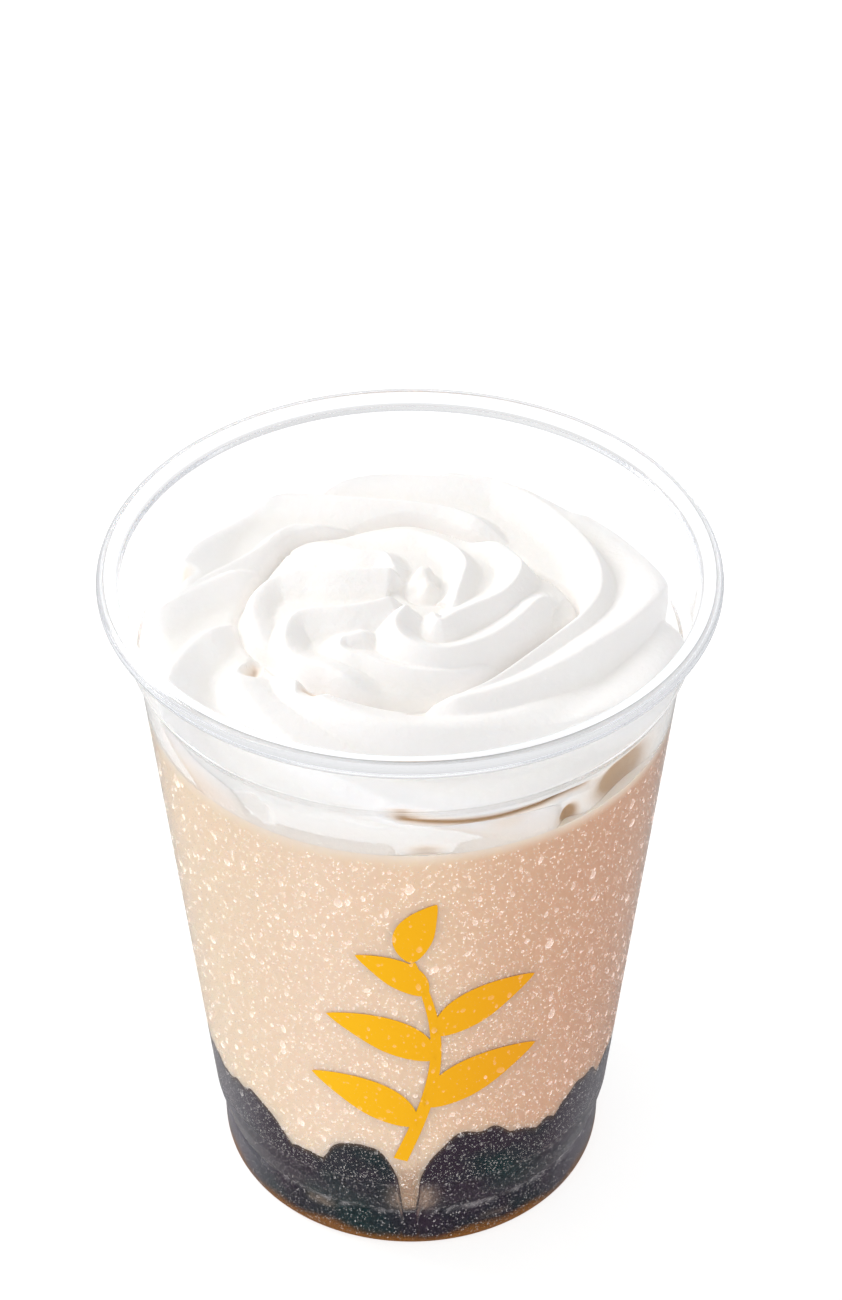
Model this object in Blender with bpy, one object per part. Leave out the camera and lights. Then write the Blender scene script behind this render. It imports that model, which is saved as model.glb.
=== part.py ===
"""Hojicha shake in its clear plastic cup.

Four separate solids share one frame: the cup, a heap of dark jelly on its floor,
the shake above the jelly, and a two-tier rosette of piped whipped cream on top.
Units are metres and +Z is up. The origin is the centre of the base, at floor level.
"""
import bpy
import bmesh
import math
import numpy as np

MM = 0.001

# ---- driving dimensions, in millimetres --------------------------------------
CUP_HEIGHT = 122.0
RIM_DIAMETER = 98.0
RIM_BEAD_RADIUS = 1.7
WALL = 0.65                   # thickness of the drawn plastic
FLOOR = 0.8                   # thickness of the cup's floor
BASE_RADIUS = 33.0            # the foot band
FOOT_RING = (30.3, 32.1)      # inner and outer radius of the flat ring it stands on
FLOOR_RISE = 2.6              # how far the middle of the base is pushed up
PUSH_UP_RADIUS = 22.0         # the pushed-up middle is flat as far as here
SLOPE_RADIUS = 27.6           # and has come down by a quarter here
GROOVE_HEIGHT = 8.4           # the line pressed in above the foot band
KNEE_HEIGHT = 14.0            # the curved foot becomes the straight wall here
KNEE_RADIUS = 34.46
SHOULDER_HEIGHT = 106.9       # the straight wall ends in a small step here
SHOULDER_RADIUS = 43.42
COLLAR_HEIGHT = 109.9         # the step ends and the collar begins
COLLAR_RADIUS = 44.9
COLLAR_TOP = (45.75, 118.2)
SHAKE_LEVEL = 98.6
GAP = 0.3                     # clearance between touching solids
FLOOR_GAP = 0.4               # and between the jelly and the cup's floor
UPRIGHT_GAP = 0.45            # the same clearance measured upright, on the jelly's steep flanks
CREAM_FOOT = SHAKE_LEVEL + GAP

CUP_SEGMENTS = 72
CREAM_SEGMENTS = 90
CREAM_RINGS = 27

# ---- the cup ------------------------------------------------------------------


def arc(centre, radius, start, end, steps):
    """Points on an arc, as (radius from the axis, height); angles in degrees."""
    angles = np.radians(np.linspace(start, end, steps))
    return [(centre[0] + radius * math.cos(a), centre[1] + radius * math.sin(a)) for a in angles]


def cup_outer_profile():
    """The outside, from the middle of the base up to the bead, as (r, z)."""
    return [
        (PUSH_UP_RADIUS, FLOOR_RISE), (SLOPE_RADIUS, FLOOR_RISE * 0.75),
        (FOOT_RING[0], 0.0), (FOOT_RING[1], 0.0), (BASE_RADIUS - 0.2, 0.5), (BASE_RADIUS, 1.5),
        (BASE_RADIUS + 0.15, GROOVE_HEIGHT - 0.9), (BASE_RADIUS - 0.1, GROOVE_HEIGHT),
        (BASE_RADIUS + 0.35, GROOVE_HEIGHT + 0.9), (KNEE_RADIUS - 0.65, KNEE_HEIGHT - 2.8),
        (KNEE_RADIUS, KNEE_HEIGHT),
        (SHOULDER_RADIUS, SHOULDER_HEIGHT), (SHOULDER_RADIUS + 0.5, SHOULDER_HEIGHT + 1.0),
        (COLLAR_RADIUS - 0.2, COLLAR_HEIGHT - 0.6), (COLLAR_RADIUS, COLLAR_HEIGHT), COLLAR_TOP,
    ]


def cup_inner_profile():
    """The inside, from the collar down to the middle of the floor, as (r, z)."""
    return [
        (COLLAR_TOP[0] - WALL, COLLAR_TOP[1] - 0.4), (COLLAR_RADIUS - WALL, COLLAR_HEIGHT + 0.2),
        (SHOULDER_RADIUS - WALL, SHOULDER_HEIGHT + 0.2), (KNEE_RADIUS - WALL, KNEE_HEIGHT),
        (BASE_RADIUS + 0.2 - WALL, GROOVE_HEIGHT + 1.0), (BASE_RADIUS - WALL - 0.1, 3.2),
        (BASE_RADIUS - WALL - 0.9, 1.5), (FOOT_RING[0] - 0.4, FLOOR + 0.4),
        (SLOPE_RADIUS, FLOOR_RISE * 0.75 + FLOOR), (PUSH_UP_RADIUS, FLOOR_RISE + FLOOR),
    ]


def inner_radius(height):
    """Radius of the cup's inside wall at a height above the floor's corner."""
    wall = cup_inner_profile()[:7]
    heights = [z for _, z in reversed(wall)]
    radii = [r for r, _ in reversed(wall)]
    return np.interp(height, heights, radii)


def floor_height(radius):
    """Height of the cup's inside floor at a radius."""
    floor = cup_inner_profile()[6:]
    return np.interp(radius, [r for r, _ in reversed(floor)], [z for _, z in reversed(floor)])


# ---- the heap of jelly ----------------------------------------------------------

JELLY_BED = 10.0               # every lump rises from a bed of this height
# lumps as (azimuth in degrees, distance from the axis, top height, half width)
LUMPS = [
    (199, 26, 29.0, 17.0), (219, 31, 28.5, 11.0), (240, 32, 21.0, 9.0), (255.5, 31, 28.6, 7.6),
    (287.5, 31, 30.8, 9.8), (299, 31, 27.5, 8.5), (311, 32, 25.5, 8.0), (323, 30, 31.0, 9.5),
    (341, 29, 28.5, 12.0), (2, 28, 27.0, 12.0), (26, 29, 31.5, 11.5), (50, 30, 25.0, 12.0),
    (74, 29, 30.0, 11.5), (99, 30, 24.5, 12.0), (123, 29, 31.0, 12.5), (150, 28, 26.5, 13.0),
    (174, 29, 29.5, 12.0), (40, 11, 25.0, 15.0), (150, 12, 27.0, 15.0), (238, 13, 23.5, 13.0),
    (322, 12, 26.0, 14.0),
]
LUMP_SQUARENESS = 3.2          # 2 would be a ball, higher is a blunter lump
LUMP_ROUNDNESS = 2.2           # 2 would be a round shoulder, higher is a steeper one
JELLY_RINGS = (1.0, 0.93, 0.86, 0.77, 0.68, 0.58, 0.46, 0.32, 0.16)   # shares of its radius
JELLY_FOOT = (2.1, 3.2)        # heights of its lowest two rings at the wall


def jelly_height(x, y):
    """Height of the jelly's top at a point, in millimetres."""
    height = np.full(np.shape(x), JELLY_BED)
    for azimuth, distance, top, half_width in LUMPS:
        cx = distance * math.cos(math.radians(azimuth))
        cy = distance * math.sin(math.radians(azimuth))
        reach = np.clip(np.hypot(x - cx, y - cy) / half_width, 0.0, 1.0)
        lump = JELLY_BED + (top - JELLY_BED) * (1.0 - reach ** LUMP_SQUARENESS) ** (1.0 / LUMP_ROUNDNESS)
        height = np.maximum(height, lump)
    return height


# ---- the whipped cream ----------------------------------------------------------
# The rosette's surface is a turned profile with relief. Its reach runs out from the axis
# over the top and on down the side to the shake; the relief stands square to it.

PROFILE_REACH = [0, 10, 18, 22, 25, 28, 31, 34, 36.5, 38.5, 40.5, 42.5, 44.5, 47, 50]
PROFILE_RADIUS = [0, 10, 18, 22, 25, 28, 31, 34, 36.4, 38.3, 39.9, 41.1, 41.9, 42.3, 42.4]
PROFILE_HEIGHT = [110.5, 110.5, 110.4, 110.5, 110.8, 111.0, 110.9, 110.6, 110.1, 109.4, 108.3, 106.6,
                  104.6, 102.0, CREAM_FOOT]
# by azimuth, every 30 degrees: how far the side stands in, and how much lower the shoulder is
SIDE_INSET = [0.5, 0.8, 0.8, 1.2, 1.3, 1.0, 0.4, 0.0, 0.0, 0.0, 0.0, 0.0]
SHOULDER_DROP = [0.0, 0.0, 0.0, 0.0, 0.0, 0.0, 0.3, 1.4, 2.5, 3.0, 2.7, 1.2]

# The upper tier's edge, as its reach every 15 degrees.
TIER_EDGE = [26.3, 25.3, 22.6, 22.4, 21.8, 22.5, 23.9, 23.7, 23.7, 26.0, 25.4, 25.4, 26.7, 26.2, 24.4,
             23.9, 23.4, 22.3, 21.9, 21.5, 20.7, 19.9, 20.5, 22.8]
TIER_EDGE_WIDTH = 1.6          # the edge drops over this distance
TIER_RISE = 2.4                # of the upper tier's shoulder over the lower tier
TIER_DOME = 1.75               # of its middle over its shoulder
TIER_FADE = 0.5                # share of the upper ridges' height that is lost at the edge
LOWER_START = (-1.0, 2.0)      # the lower ridges rise between these distances past the edge
EDGE_CREASE = (0.8, 0.4, 0.8)  # the fold where the tiers meet: depth, distance past the edge, half width

# Ridges left by the star tip, each a curve of (azimuth in degrees, reach) that runs
# outward counter-clockwise, with its height, inner width and outer width.
UPPER_RIDGES = {
    "fold_a": ([(92, 2.0), (122, 4.2), (142, 6.3), (152, 8.2), (161, 12.0), (163, 17.7), (168, 22.6),
                (175, 24.5), (184, 25.8), (192, 26.3), (200, 26.8), (208, 26.4), (215, 25.7)],
               3.5, 4.5, 3.2),
    "fold_b": ([(-95, 1.6), (-126, 3.6), (-138, 6.2), (-150, 10.4), (-161, 16.0), (-162, 18.7),
                (-158, 20.8), (-151, 22.7), (-144, 23.4), (-137, 23.0), (-128, 21.9), (-116, 22.0),
                (-106, 22.5), (-96, 23.1)], 3.5, 4.5, 3.0),
    "fold_c": ([(-117, 9.0), (-123, 11.2), (-130, 13.4), (-134, 15.2), (-131, 16.6), (-125, 16.9),
                (-116, 16.4), (-104, 16.9), (-93, 17.5), (-76, 18.4), (-64, 19.2), (-55, 19.2),
                (-44, 20.2), (-34, 21.2)], 2.1, 3.2, 3.0),
    "fold_d": ([(-71, 2.7), (-96, 5.5), (-104, 9.7), (-97, 12.2), (-86, 14.2), (-74, 15.6), (-62, 16.1),
                (-50, 16.4), (-36, 17.0), (-21, 18.2), (-6, 20.4), (1, 22.3), (1, 24.1), (-5, 24.7)],
               3.7, 4.5, 3.4),
    "fold_e": ([(-58, 4.4), (-62, 6.8), (-63, 9.7), (-40, 9.9), (-21, 11.5), (-7, 14.1), (5, 16.3),
                (20, 18.9), (28, 20.1)], 3.4, 4.5, 3.2),
    "fold_f": ([(-50, 5.6), (-32, 7.5), (-2, 7.5), (22, 8.9), (42, 11.8)], 2.4, 3.6, 2.6),
    "fold_g": ([(88, 3.0), (113, 5.9), (113, 10.4), (128, 13.3), (135, 18.5), (141, 22.5), (146, 23.4),
                (154, 23.4)], 2.5, 4.5, 3.2),
}
LOWER_RIDGES = {
    "back_a": ([(37, 44.4), (46, 44.0), (53, 43.7), (59, 42.3), (65, 40.2), (72, 38.4), (80, 37.5),
                (88, 37.6), (97, 39.1), (106, 41.8), (112, 43.7), (116, 44.4)], 2.6, 8.0, 4.0),
    "back_b": ([(44, 24.8), (62, 25.5), (75, 26.7), (88, 27.5), (101, 29.0), (112, 31.9), (120, 36.0),
                (125, 40.0), (130, 42.8), (136, 43.5), (144, 42.3), (153, 40.0), (162, 38.0), (172, 36.8)],
               3.0, 7.0, 3.4),
    "left_a": ([(76, 12.8), (96, 16.0), (109, 20.1), (119, 24.0), (127, 27.4), (132, 29.2), (138, 29.4),
                (145, 29.0), (153, 29.8), (160, 31.7), (166, 34.1), (172, 36.7), (176, 40.1), (180, 44.4)],
               2.6, 6.0, 3.0),
    "left_b": ([(154, 21.4), (155, 23.5), (157, 25.6), (160, 27.7), (163, 29.8), (167, 32.1),
                (171, 34.6), (175, 37.4), (177, 40.3), (180, 42.7), (183, 43.9), (188, 44.4)],
               2.8, 6.0, 4.0),
    "left_c": ([(-178, 24.7), (-175, 27.2), (-172, 29.7), (-169, 32.3), (-166, 34.7), (-163, 36.9),
                (-160, 38.7), (-155, 40.5), (-150, 42.3), (-143, 44.4), (-135, 47.0), (-124, 50.0)],
               3.0, 6.0, 4.0),
    "left_d": ([(-157, 26.0), (-155, 28.0), (-153, 29.8), (-149, 31.1), (-144, 32.0), (-137, 32.7),
                (-130, 33.4), (-122, 34.2), (-114, 35.4), (-107, 36.8), (-99, 38.4), (-90, 40.5),
                (-78, 43.0), (-66, 46.0), (-55, 50.0)], 3.0, 6.0, 4.0),
    "front_a": ([(-151, 26.7), (-140, 26.3), (-130, 26.5), (-120, 27.0), (-111, 27.7), (-102, 28.6),
                (-93, 29.5), (-84, 30.2), (-73, 31.1), (-64, 32.3), (-54, 33.5), (-46, 35.0),
                (-38, 36.8), (-29, 39.0), (-19, 41.1), (-9, 42.7), (1, 43.7), (9, 44.4)], 3.2, 7.0, 4.6),
    "front_b": ([(-94, 25.5), (-84, 25.1), (-73, 25.0), (-62, 25.3), (-50, 26.0), (-39, 27.1),
                (-28, 28.8), (-18, 30.9), (-10, 33.5), (-2, 36.3), (6, 39.0), (13, 41.3), (21, 43.0),
                (29, 43.8), (37, 44.0), (44, 44.0), (50, 43.7), (57, 43.2)], 3.6, 7.0, 4.0),
    "front_c": ([(-89, 24.9), (-79, 24.0), (-69, 23.2), (-57, 22.5), (-46, 22.1), (-35, 22.2),
                (-25, 23.1), (-17, 24.5), (-10, 26.4), (-2, 28.4), (5, 30.2), (13, 31.6), (22, 32.7),
                (33, 33.7), (45, 34.9), (57, 36.7)], 3.0, 6.0, 3.2),
}
# Folds pressed into the cream, as (curve, depth, half width).
CREASES = [
    ([(-158, 27.3), (-154, 26.9), (-150, 28.6), (-147, 30.4)], 1.5, 1.4),
    ([(-133, 25.7), (-127, 25.9), (-120, 25.8)], 1.5, 1.5),
    ([(-93, 24.6), (-87, 24.1), (-81, 23.7)], 1.0, 1.3),
    ([(140, 25.1), (144, 25.2)], 1.2, 1.3),
    ([(159, 38.6), (162, 38.5), (165, 37.5)], 1.5, 1.8),
    ([(-95, 37.5), (-76, 38.6), (-65, 39.4), (-58, 41.0), (-50, 43.5)], 2.0, 2.0),
    ([(-129, 45.4), (-123, 46.2), (-119, 49.0)], 1.2, 1.4),
]
# Hollows where the side stands off the cup, as (azimuth, reach, half width in
# degrees, half height, depth).
POCKETS = [
    (-38, 48.4, 9, 3.4, 2.4),
    (-54, 49.2, 2.4, 1.7, 1.5),
    (-87, 49.4, 5, 1.3, 0.8),
    (-141, 48.6, 14, 2.6, 0.3),
]
CREST_POWER = 1.15             # 1 makes straight flanks, more makes them hollow
CREST_ROUNDING = 0.05          # share of a ridge's width that its crest is rounded over
FOLD_ROUNDING = 0.35
VALLEY_ROUNDING = 0.14
RIDGE_RUN = (3.0, 8.0)         # a ridge rises over the first length and fades over the second
TIP_PLACE = (2.5, 2.2)
TIP_RISE = 2.0
TIP_WIDTH = 1.7
TIP_FOLD = (2.5, 0.6, 0.7)     # the fold around the tip: radius, half width, depth
CURVE_SAMPLES = 60
BLEND_WIDTH = 0.35
GRID_TWIST = math.radians(4.0)   # the mesh lines lean with the ridges, per mm
CROWN_REACH = 0.01             # where the middle's height is read
CELL_STEP = 0.7                # about a third of the mesh's cells


def smoothstep(low, high, value):
    t = np.clip((value - low) / (high - low), 0.0, 1.0)
    return t * t * (3 - 2 * t)


def smooth_values(at, knots, values):
    """Reads a smooth curve through (knot, value) pairs."""
    knots, values = np.array(knots, float), np.array(values, float)
    slope = np.gradient(values, knots)
    cell = np.clip(np.searchsorted(knots, at) - 1, 0, len(knots) - 2)
    width = knots[cell + 1] - knots[cell]
    t = np.clip((at - knots[cell]) / width, 0.0, 1.0)
    return ((2 * t ** 3 - 3 * t ** 2 + 1) * values[cell]
            + (t ** 3 - 2 * t ** 2 + t) * width * slope[cell]
            + (3 * t ** 2 - 2 * t ** 3) * values[cell + 1]
            + (t ** 3 - t ** 2) * width * slope[cell + 1])


def around(degrees, table):
    """Reads a closed table that has one value every so many degrees."""
    places = np.arange(-2, len(table) + 2)
    return smooth_values(degrees % 360.0, places * 360.0 / len(table), np.take(table, places, mode="wrap"))


def smooth_curve(points, samples):
    """A smooth curve through (azimuth, reach) points, as plane x and y, and its length."""
    azimuth, reach = np.array(points, float).T
    x, y = reach * np.cos(np.radians(azimuth)), reach * np.sin(np.radians(azimuth))
    knots = np.concatenate([[0.0], np.cumsum(np.hypot(np.diff(x), np.diff(y)))])
    at = np.linspace(0.0, knots[-1], samples)
    return smooth_values(at, knots, x), smooth_values(at, knots, y), knots[-1]


def ridge_height(px, py, points, height, inner_width, outer_width, rounding):
    """Height that one ridge gives at flat points (px, py): steep outside, gentle inside."""
    cx, cy, total = smooth_curve(points, CURVE_SAMPLES)
    widest = max(inner_width, outer_width)
    near = ((px > cx.min() - widest) & (px < cx.max() + widest)
            & (py > cy.min() - widest) & (py < cy.max() + widest))
    qx, qy = px[near], py[near]
    best = np.full(qx.shape, np.inf)
    side = np.zeros(qx.shape)
    along = np.zeros(qx.shape)
    for i in range(len(cx) - 1):
        ex, ey = cx[i + 1] - cx[i], cy[i + 1] - cy[i]
        length = math.hypot(ex, ey)
        t = np.clip(((qx - cx[i]) * ex + (qy - cy[i]) * ey) / length ** 2, 0.0, 1.0)
        dx, dy = qx - cx[i] - t * ex, qy - cy[i] - t * ey
        distance = dx * dx + dy * dy
        nearer = distance < best
        best = np.where(nearer, distance, best)
        side = np.where(nearer, (ey * dx - ex * dy) / length, side)
        along = np.where(nearer, (i + t) / (len(cx) - 1), along)
    distance = np.sqrt(best)
    outside = smoothstep(-1.0, 1.0, side / np.maximum(distance, BLEND_WIDTH))
    reach = distance / (inner_width + (outer_width - inner_width) * outside)
    rounded = np.sqrt(reach ** 2 + rounding ** 2) - rounding
    rise, sink = np.minimum(RIDGE_RUN, total * 0.35)
    fade = smoothstep(0.0, rise, along * total) * smoothstep(0.0, sink, (1.0 - along) * total)
    result = np.zeros(px.shape)
    result[near] = height * np.clip(1.0 - rounded, 0.0, 1.0) ** CREST_POWER * fade
    return result


def ridge_field(px, py, ridges):
    """The highest of several ridges, with rounded valleys between them."""
    total = np.zeros(px.shape)
    for points, height, inner_width, outer_width in ridges.values():
        ridge = ridge_height(px, py, points, height, inner_width, outer_width, CREST_ROUNDING)
        total += np.exp(ridge / VALLEY_ROUNDING)
    return VALLEY_ROUNDING * np.log(total / len(ridges))


def cream_limit(height):
    """The cream never stands further out than the straight wall, drawn on upwards."""
    lean = (SHOULDER_RADIUS - KNEE_RADIUS) / (SHOULDER_HEIGHT + 0.2 - KNEE_HEIGHT)
    return KNEE_RADIUS - WALL - GAP + (height - KNEE_HEIGHT) * lean


def cream_relief(azimuth, reach):
    """How far the cream stands proud of its turned profile."""
    px, py = reach * np.cos(azimuth), reach * np.sin(azimuth)
    degrees = np.degrees(azimuth)
    edge = around(degrees, TIER_EDGE)
    inside = smoothstep(-0.5, 0.5, (edge - reach) / TIER_EDGE_WIDTH)
    share = np.clip(reach / edge, 0.0, 1.0)
    upper = ridge_field(px, py, UPPER_RIDGES) * (1.0 - TIER_FADE * share ** 8)
    lower = ridge_field(px, py, LOWER_RIDGES) * smoothstep(*LOWER_START, reach - edge)
    dome = TIER_RISE * np.sqrt(1.0 - share ** 6) + TIER_DOME * (1.0 - share ** 2)
    relief = (dome + upper) * inside + lower * (1.0 - inside)
    crease_depth, crease_place, crease_width = EDGE_CREASE
    relief -= crease_depth * np.exp(-((reach - edge - crease_place) / crease_width) ** 2)
    tip_x, tip_y = px - TIP_PLACE[0], py - TIP_PLACE[1]
    tip = np.hypot(tip_x, tip_y)
    fold_radius, fold_width, fold_depth = TIP_FOLD
    relief += TIP_RISE * np.exp(-(tip / TIP_WIDTH) ** 4)
    relief -= fold_depth * np.exp(-((tip - fold_radius) / fold_width) ** 2) * smoothstep(-1.5, 1.5, -tip_y)
    for points, depth, width in CREASES:
        relief -= ridge_height(px, py, points, depth, width, width, FOLD_ROUNDING)
    for place, middle, half_turn, half_reach, depth in POCKETS:
        turn = (degrees - place + 180.0) % 360.0 - 180.0
        hollow = np.exp(-(turn / half_turn) ** 4 - ((reach - middle) / half_reach) ** 4)
        relief -= depth * hollow
    return relief


def even_relief(azimuth, reach):
    """The relief evened out over a cell of the mesh, so that thin ridges stay whole."""
    steps = (-CELL_STEP, 0.0, CELL_STEP)
    total = np.zeros(np.shape(reach))
    for out in steps:
        for along in steps:
            turn = along / np.maximum(reach, CELL_STEP)
            total += cream_relief(azimuth + turn, np.clip(reach + out, 0.0, PROFILE_REACH[-1]))
    return total / len(steps) ** 2


def cream_surface(azimuth, reach):
    """Points of the rosette's surface at azimuths (radians) and reaches (mm)."""
    relief = even_relief(azimuth, reach)
    low, high = np.maximum(reach - 1.0, 0.0), np.minimum(reach + 1.0, PROFILE_REACH[-1])
    slope_r = smooth_values(high, PROFILE_REACH, PROFILE_RADIUS) - smooth_values(
        low, PROFILE_REACH, PROFILE_RADIUS)
    slope_z = smooth_values(high, PROFILE_REACH, PROFILE_HEIGHT) - smooth_values(
        low, PROFILE_REACH, PROFILE_HEIGHT)
    length = np.hypot(slope_r, slope_z)
    degrees = np.degrees(azimuth)
    drop = around(degrees, SHOULDER_DROP) * smoothstep(29.0, 35.0, reach) * smoothstep(46.0, 41.0, reach)
    foot_fade = np.clip((PROFILE_REACH[-1] - reach) / 2.0, 0.0, 1.0)
    height = smooth_values(reach, PROFILE_REACH, PROFILE_HEIGHT) - drop
    height = np.maximum(height + relief * foot_fade * slope_r / length, CREAM_FOOT)
    inset = around(degrees, SIDE_INSET) * np.clip((reach - 24.0) / 12.0, 0.0, 1.0)
    radius = smooth_values(reach, PROFILE_REACH, PROFILE_RADIUS) - inset - relief * slope_z / length
    radius = np.minimum(radius, cream_limit(height))
    return radius * np.cos(azimuth), radius * np.sin(azimuth), height


# ---- mesh building ----------------------------------------------------------------


def material(name, colour, roughness, alpha=1.0):
    mat = bpy.data.materials.new(name)
    mat.use_nodes = True
    shader = mat.node_tree.nodes["Principled BSDF"]
    shader.inputs["Base Color"].default_value = (*colour, 1.0)
    shader.inputs["Roughness"].default_value = roughness
    shader.inputs["Metallic"].default_value = 0.0
    shader.inputs["Alpha"].default_value = alpha
    return mat


def make_object(name, rings, start_pole, end_pole, mat):
    """A closed solid from rings of points (mm), closed by a point at each end."""
    mesh = bpy.data.meshes.new(name)
    bm = bmesh.new()
    rows = [[bm.verts.new(np.array(p) * MM) for p in ring] for ring in rings]
    count = len(rows[0])
    first = bm.verts.new(np.array(start_pole) * MM)
    last = bm.verts.new(np.array(end_pole) * MM)
    for i in range(count):
        j = (i + 1) % count
        bm.faces.new((first, rows[0][j], rows[0][i]))
        bm.faces.new((last, rows[-1][i], rows[-1][j]))
        for low, high in zip(rows[:-1], rows[1:]):
            bm.faces.new((low[i], low[j], high[j]))
            bm.faces.new((low[i], high[j], high[i]))
    bmesh.ops.recalc_face_normals(bm, faces=bm.faces)
    bm.to_mesh(mesh)
    bm.free()
    mesh.shade_smooth()
    mesh.set_sharp_from_angle(angle=math.radians(40))
    mesh.materials.append(mat)
    obj = bpy.data.objects.new(name, mesh)
    bpy.context.scene.collection.objects.link(obj)
    return obj


def turned_ring(radius, height, segments):
    """One ring of points; radius and height are numbers or one value per segment."""
    angles = np.linspace(0.0, 2 * math.pi, segments, endpoint=False)
    radius = np.broadcast_to(radius, segments)
    height = np.broadcast_to(height, segments)
    return np.column_stack([radius * np.cos(angles), radius * np.sin(angles), height])


def build_cup():
    bead = arc((RIM_DIAMETER / 2 - RIM_BEAD_RADIUS, CUP_HEIGHT - RIM_BEAD_RADIUS),
               RIM_BEAD_RADIUS, -125, 180, 9)
    profile = cup_outer_profile() + bead + cup_inner_profile()
    rings = [turned_ring(r, z, CUP_SEGMENTS) for r, z in profile]
    clear = material("clear_cup_plastic", (0.95, 0.97, 0.99), 0.05, 0.25)
    return make_object("cup", rings, (0, 0, FLOOR_RISE), (0, 0, FLOOR_RISE + FLOOR), clear)


def jelly_rings():
    """The jelly's top, from the wall in to the axis."""
    angles = np.linspace(0.0, 2 * math.pi, CUP_SEGMENTS, endpoint=False)
    edge = np.full(CUP_SEGMENTS, KNEE_RADIUS)
    top = jelly_height(edge * np.cos(angles), edge * np.sin(angles))
    edge = inner_radius(top) - GAP
    rings = []
    for share in JELLY_RINGS:
        x, y = edge * share * np.cos(angles), edge * share * np.sin(angles)
        z = top if share == 1.0 else jelly_height(x, y)
        rings.append(np.column_stack([x, y, z]))
    return rings


def build_jelly():
    top_rings = jelly_rings()
    centre_height = float(jelly_height(np.array(0.0), np.array(0.0)))
    wall_top = top_rings[0][:, 2]
    floor_radii = (PUSH_UP_RADIUS, SLOPE_RADIUS, FOOT_RING[0] - 0.7)
    rings = [turned_ring(r, floor_height(r) + FLOOR_GAP, CUP_SEGMENTS) for r in floor_radii]
    notch = cup_inner_profile()[4][1]
    for z in (*JELLY_FOOT, notch, np.minimum(KNEE_HEIGHT, (notch + wall_top) / 2)):
        rings.append(turned_ring(inner_radius(z) - GAP, z, CUP_SEGMENTS))
    rings += top_rings
    floor_middle = FLOOR_RISE + FLOOR + FLOOR_GAP
    dark = material("dark_jelly", (0.02, 0.017, 0.018), 0.25)
    return make_object("jelly", rings, (0, 0, floor_middle), (0, 0, centre_height), dark)


def build_shake():
    under = [ring + np.array([0.0, 0.0, UPRIGHT_GAP]) for ring in jelly_rings()]
    bottom = under[0][:, 2]
    under[0] = turned_ring(inner_radius(bottom) - GAP, bottom, CUP_SEGMENTS)
    above_knee = np.maximum(KNEE_HEIGHT, bottom + 1.0)
    rings = [turned_ring(inner_radius(z) - GAP, z, CUP_SEGMENTS)
             for z in (SHAKE_LEVEL, (above_knee + SHAKE_LEVEL) / 2, above_knee)]
    centre_height = float(jelly_height(np.array(0.0), np.array(0.0))) + UPRIGHT_GAP
    beige = material("hojicha_shake", (0.70, 0.48, 0.33), 0.35)
    return make_object("shake", rings + under, (0, 0, SHAKE_LEVEL), (0, 0, centre_height), beige)


def build_cream():
    reaches = np.linspace(PROFILE_REACH[-1], 0.0, CREAM_RINGS + 1)[:-1]
    angles = np.linspace(0.0, 2 * math.pi, CREAM_SEGMENTS, endpoint=False)
    rings = []
    for reach in reaches:
        x, y, z = cream_surface(angles + GRID_TWIST * reach, np.full(CREAM_SEGMENTS, reach))
        rings.append(np.column_stack([x, y, z]))
    crown = cream_surface(np.zeros(1), np.full(1, CROWN_REACH))[2]
    white = material("whipped_cream", (0.93, 0.91, 0.87), 0.5)
    return make_object("cream", rings, (0, 0, CREAM_FOOT), (0, 0, float(crown[0])), white)


def main():
    for obj in list(bpy.data.objects):
        bpy.data.objects.remove(obj, do_unlink=True)
    build_cup()
    build_jelly()
    build_shake()
    build_cream()


main()
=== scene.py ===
"""Looks of the hojicha shake: a clear cup with dew on it, the beige drink over dark jelly,
and a piped rosette of whipped cream.

Lengths are in millimetres and angles in degrees, unless a line says otherwise. Materials,
the light and the floor are in metres. An azimuth runs counter-clockwise from the right, so
the printed front is at 270.
"""
import bpy
import math
import numpy as np
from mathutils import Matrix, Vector


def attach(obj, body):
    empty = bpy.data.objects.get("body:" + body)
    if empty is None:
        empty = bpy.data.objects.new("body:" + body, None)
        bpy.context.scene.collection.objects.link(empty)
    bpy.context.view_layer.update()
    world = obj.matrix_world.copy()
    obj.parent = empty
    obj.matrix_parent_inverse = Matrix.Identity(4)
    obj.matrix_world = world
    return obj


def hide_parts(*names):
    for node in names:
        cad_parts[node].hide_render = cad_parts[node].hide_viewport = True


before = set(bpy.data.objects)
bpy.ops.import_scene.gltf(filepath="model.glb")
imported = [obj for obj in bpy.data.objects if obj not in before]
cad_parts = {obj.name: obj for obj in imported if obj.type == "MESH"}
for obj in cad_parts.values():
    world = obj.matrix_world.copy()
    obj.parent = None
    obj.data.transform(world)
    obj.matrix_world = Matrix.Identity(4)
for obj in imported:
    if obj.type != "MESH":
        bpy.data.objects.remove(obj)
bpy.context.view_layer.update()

MM = 0.001

# ---- sizes shared with the solids ------------------------
CUP_HEIGHT = 121.94  # a hair under the solid's, so that the looks stay inside it
RIM_DIAMETER = 97.9
RIM_BEAD_RADIUS = 1.7
BASE_RADIUS = 33.0
FOOT_RING = (30.3, 32.1)  # inner and outer radius of the flat ring that the cup stands on
FLOOR_RISE = 2.6  # of the base's middle
GROOVE_HEIGHT = 8.4  # of the line pressed in where the foot begins
KNEE_HEIGHT = 14.0
KNEE_RADIUS = 34.46
SHOULDER_HEIGHT = 106.9
SHOULDER_RADIUS = 43.42
COLLAR_HEIGHT = 109.9
COLLAR_RADIUS = 44.9
COLLAR_TOP = (45.75, 118.2)  # radius and height
SHAKE_LEVEL = 98.6
CREAM_FOOT = 98.6

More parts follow.
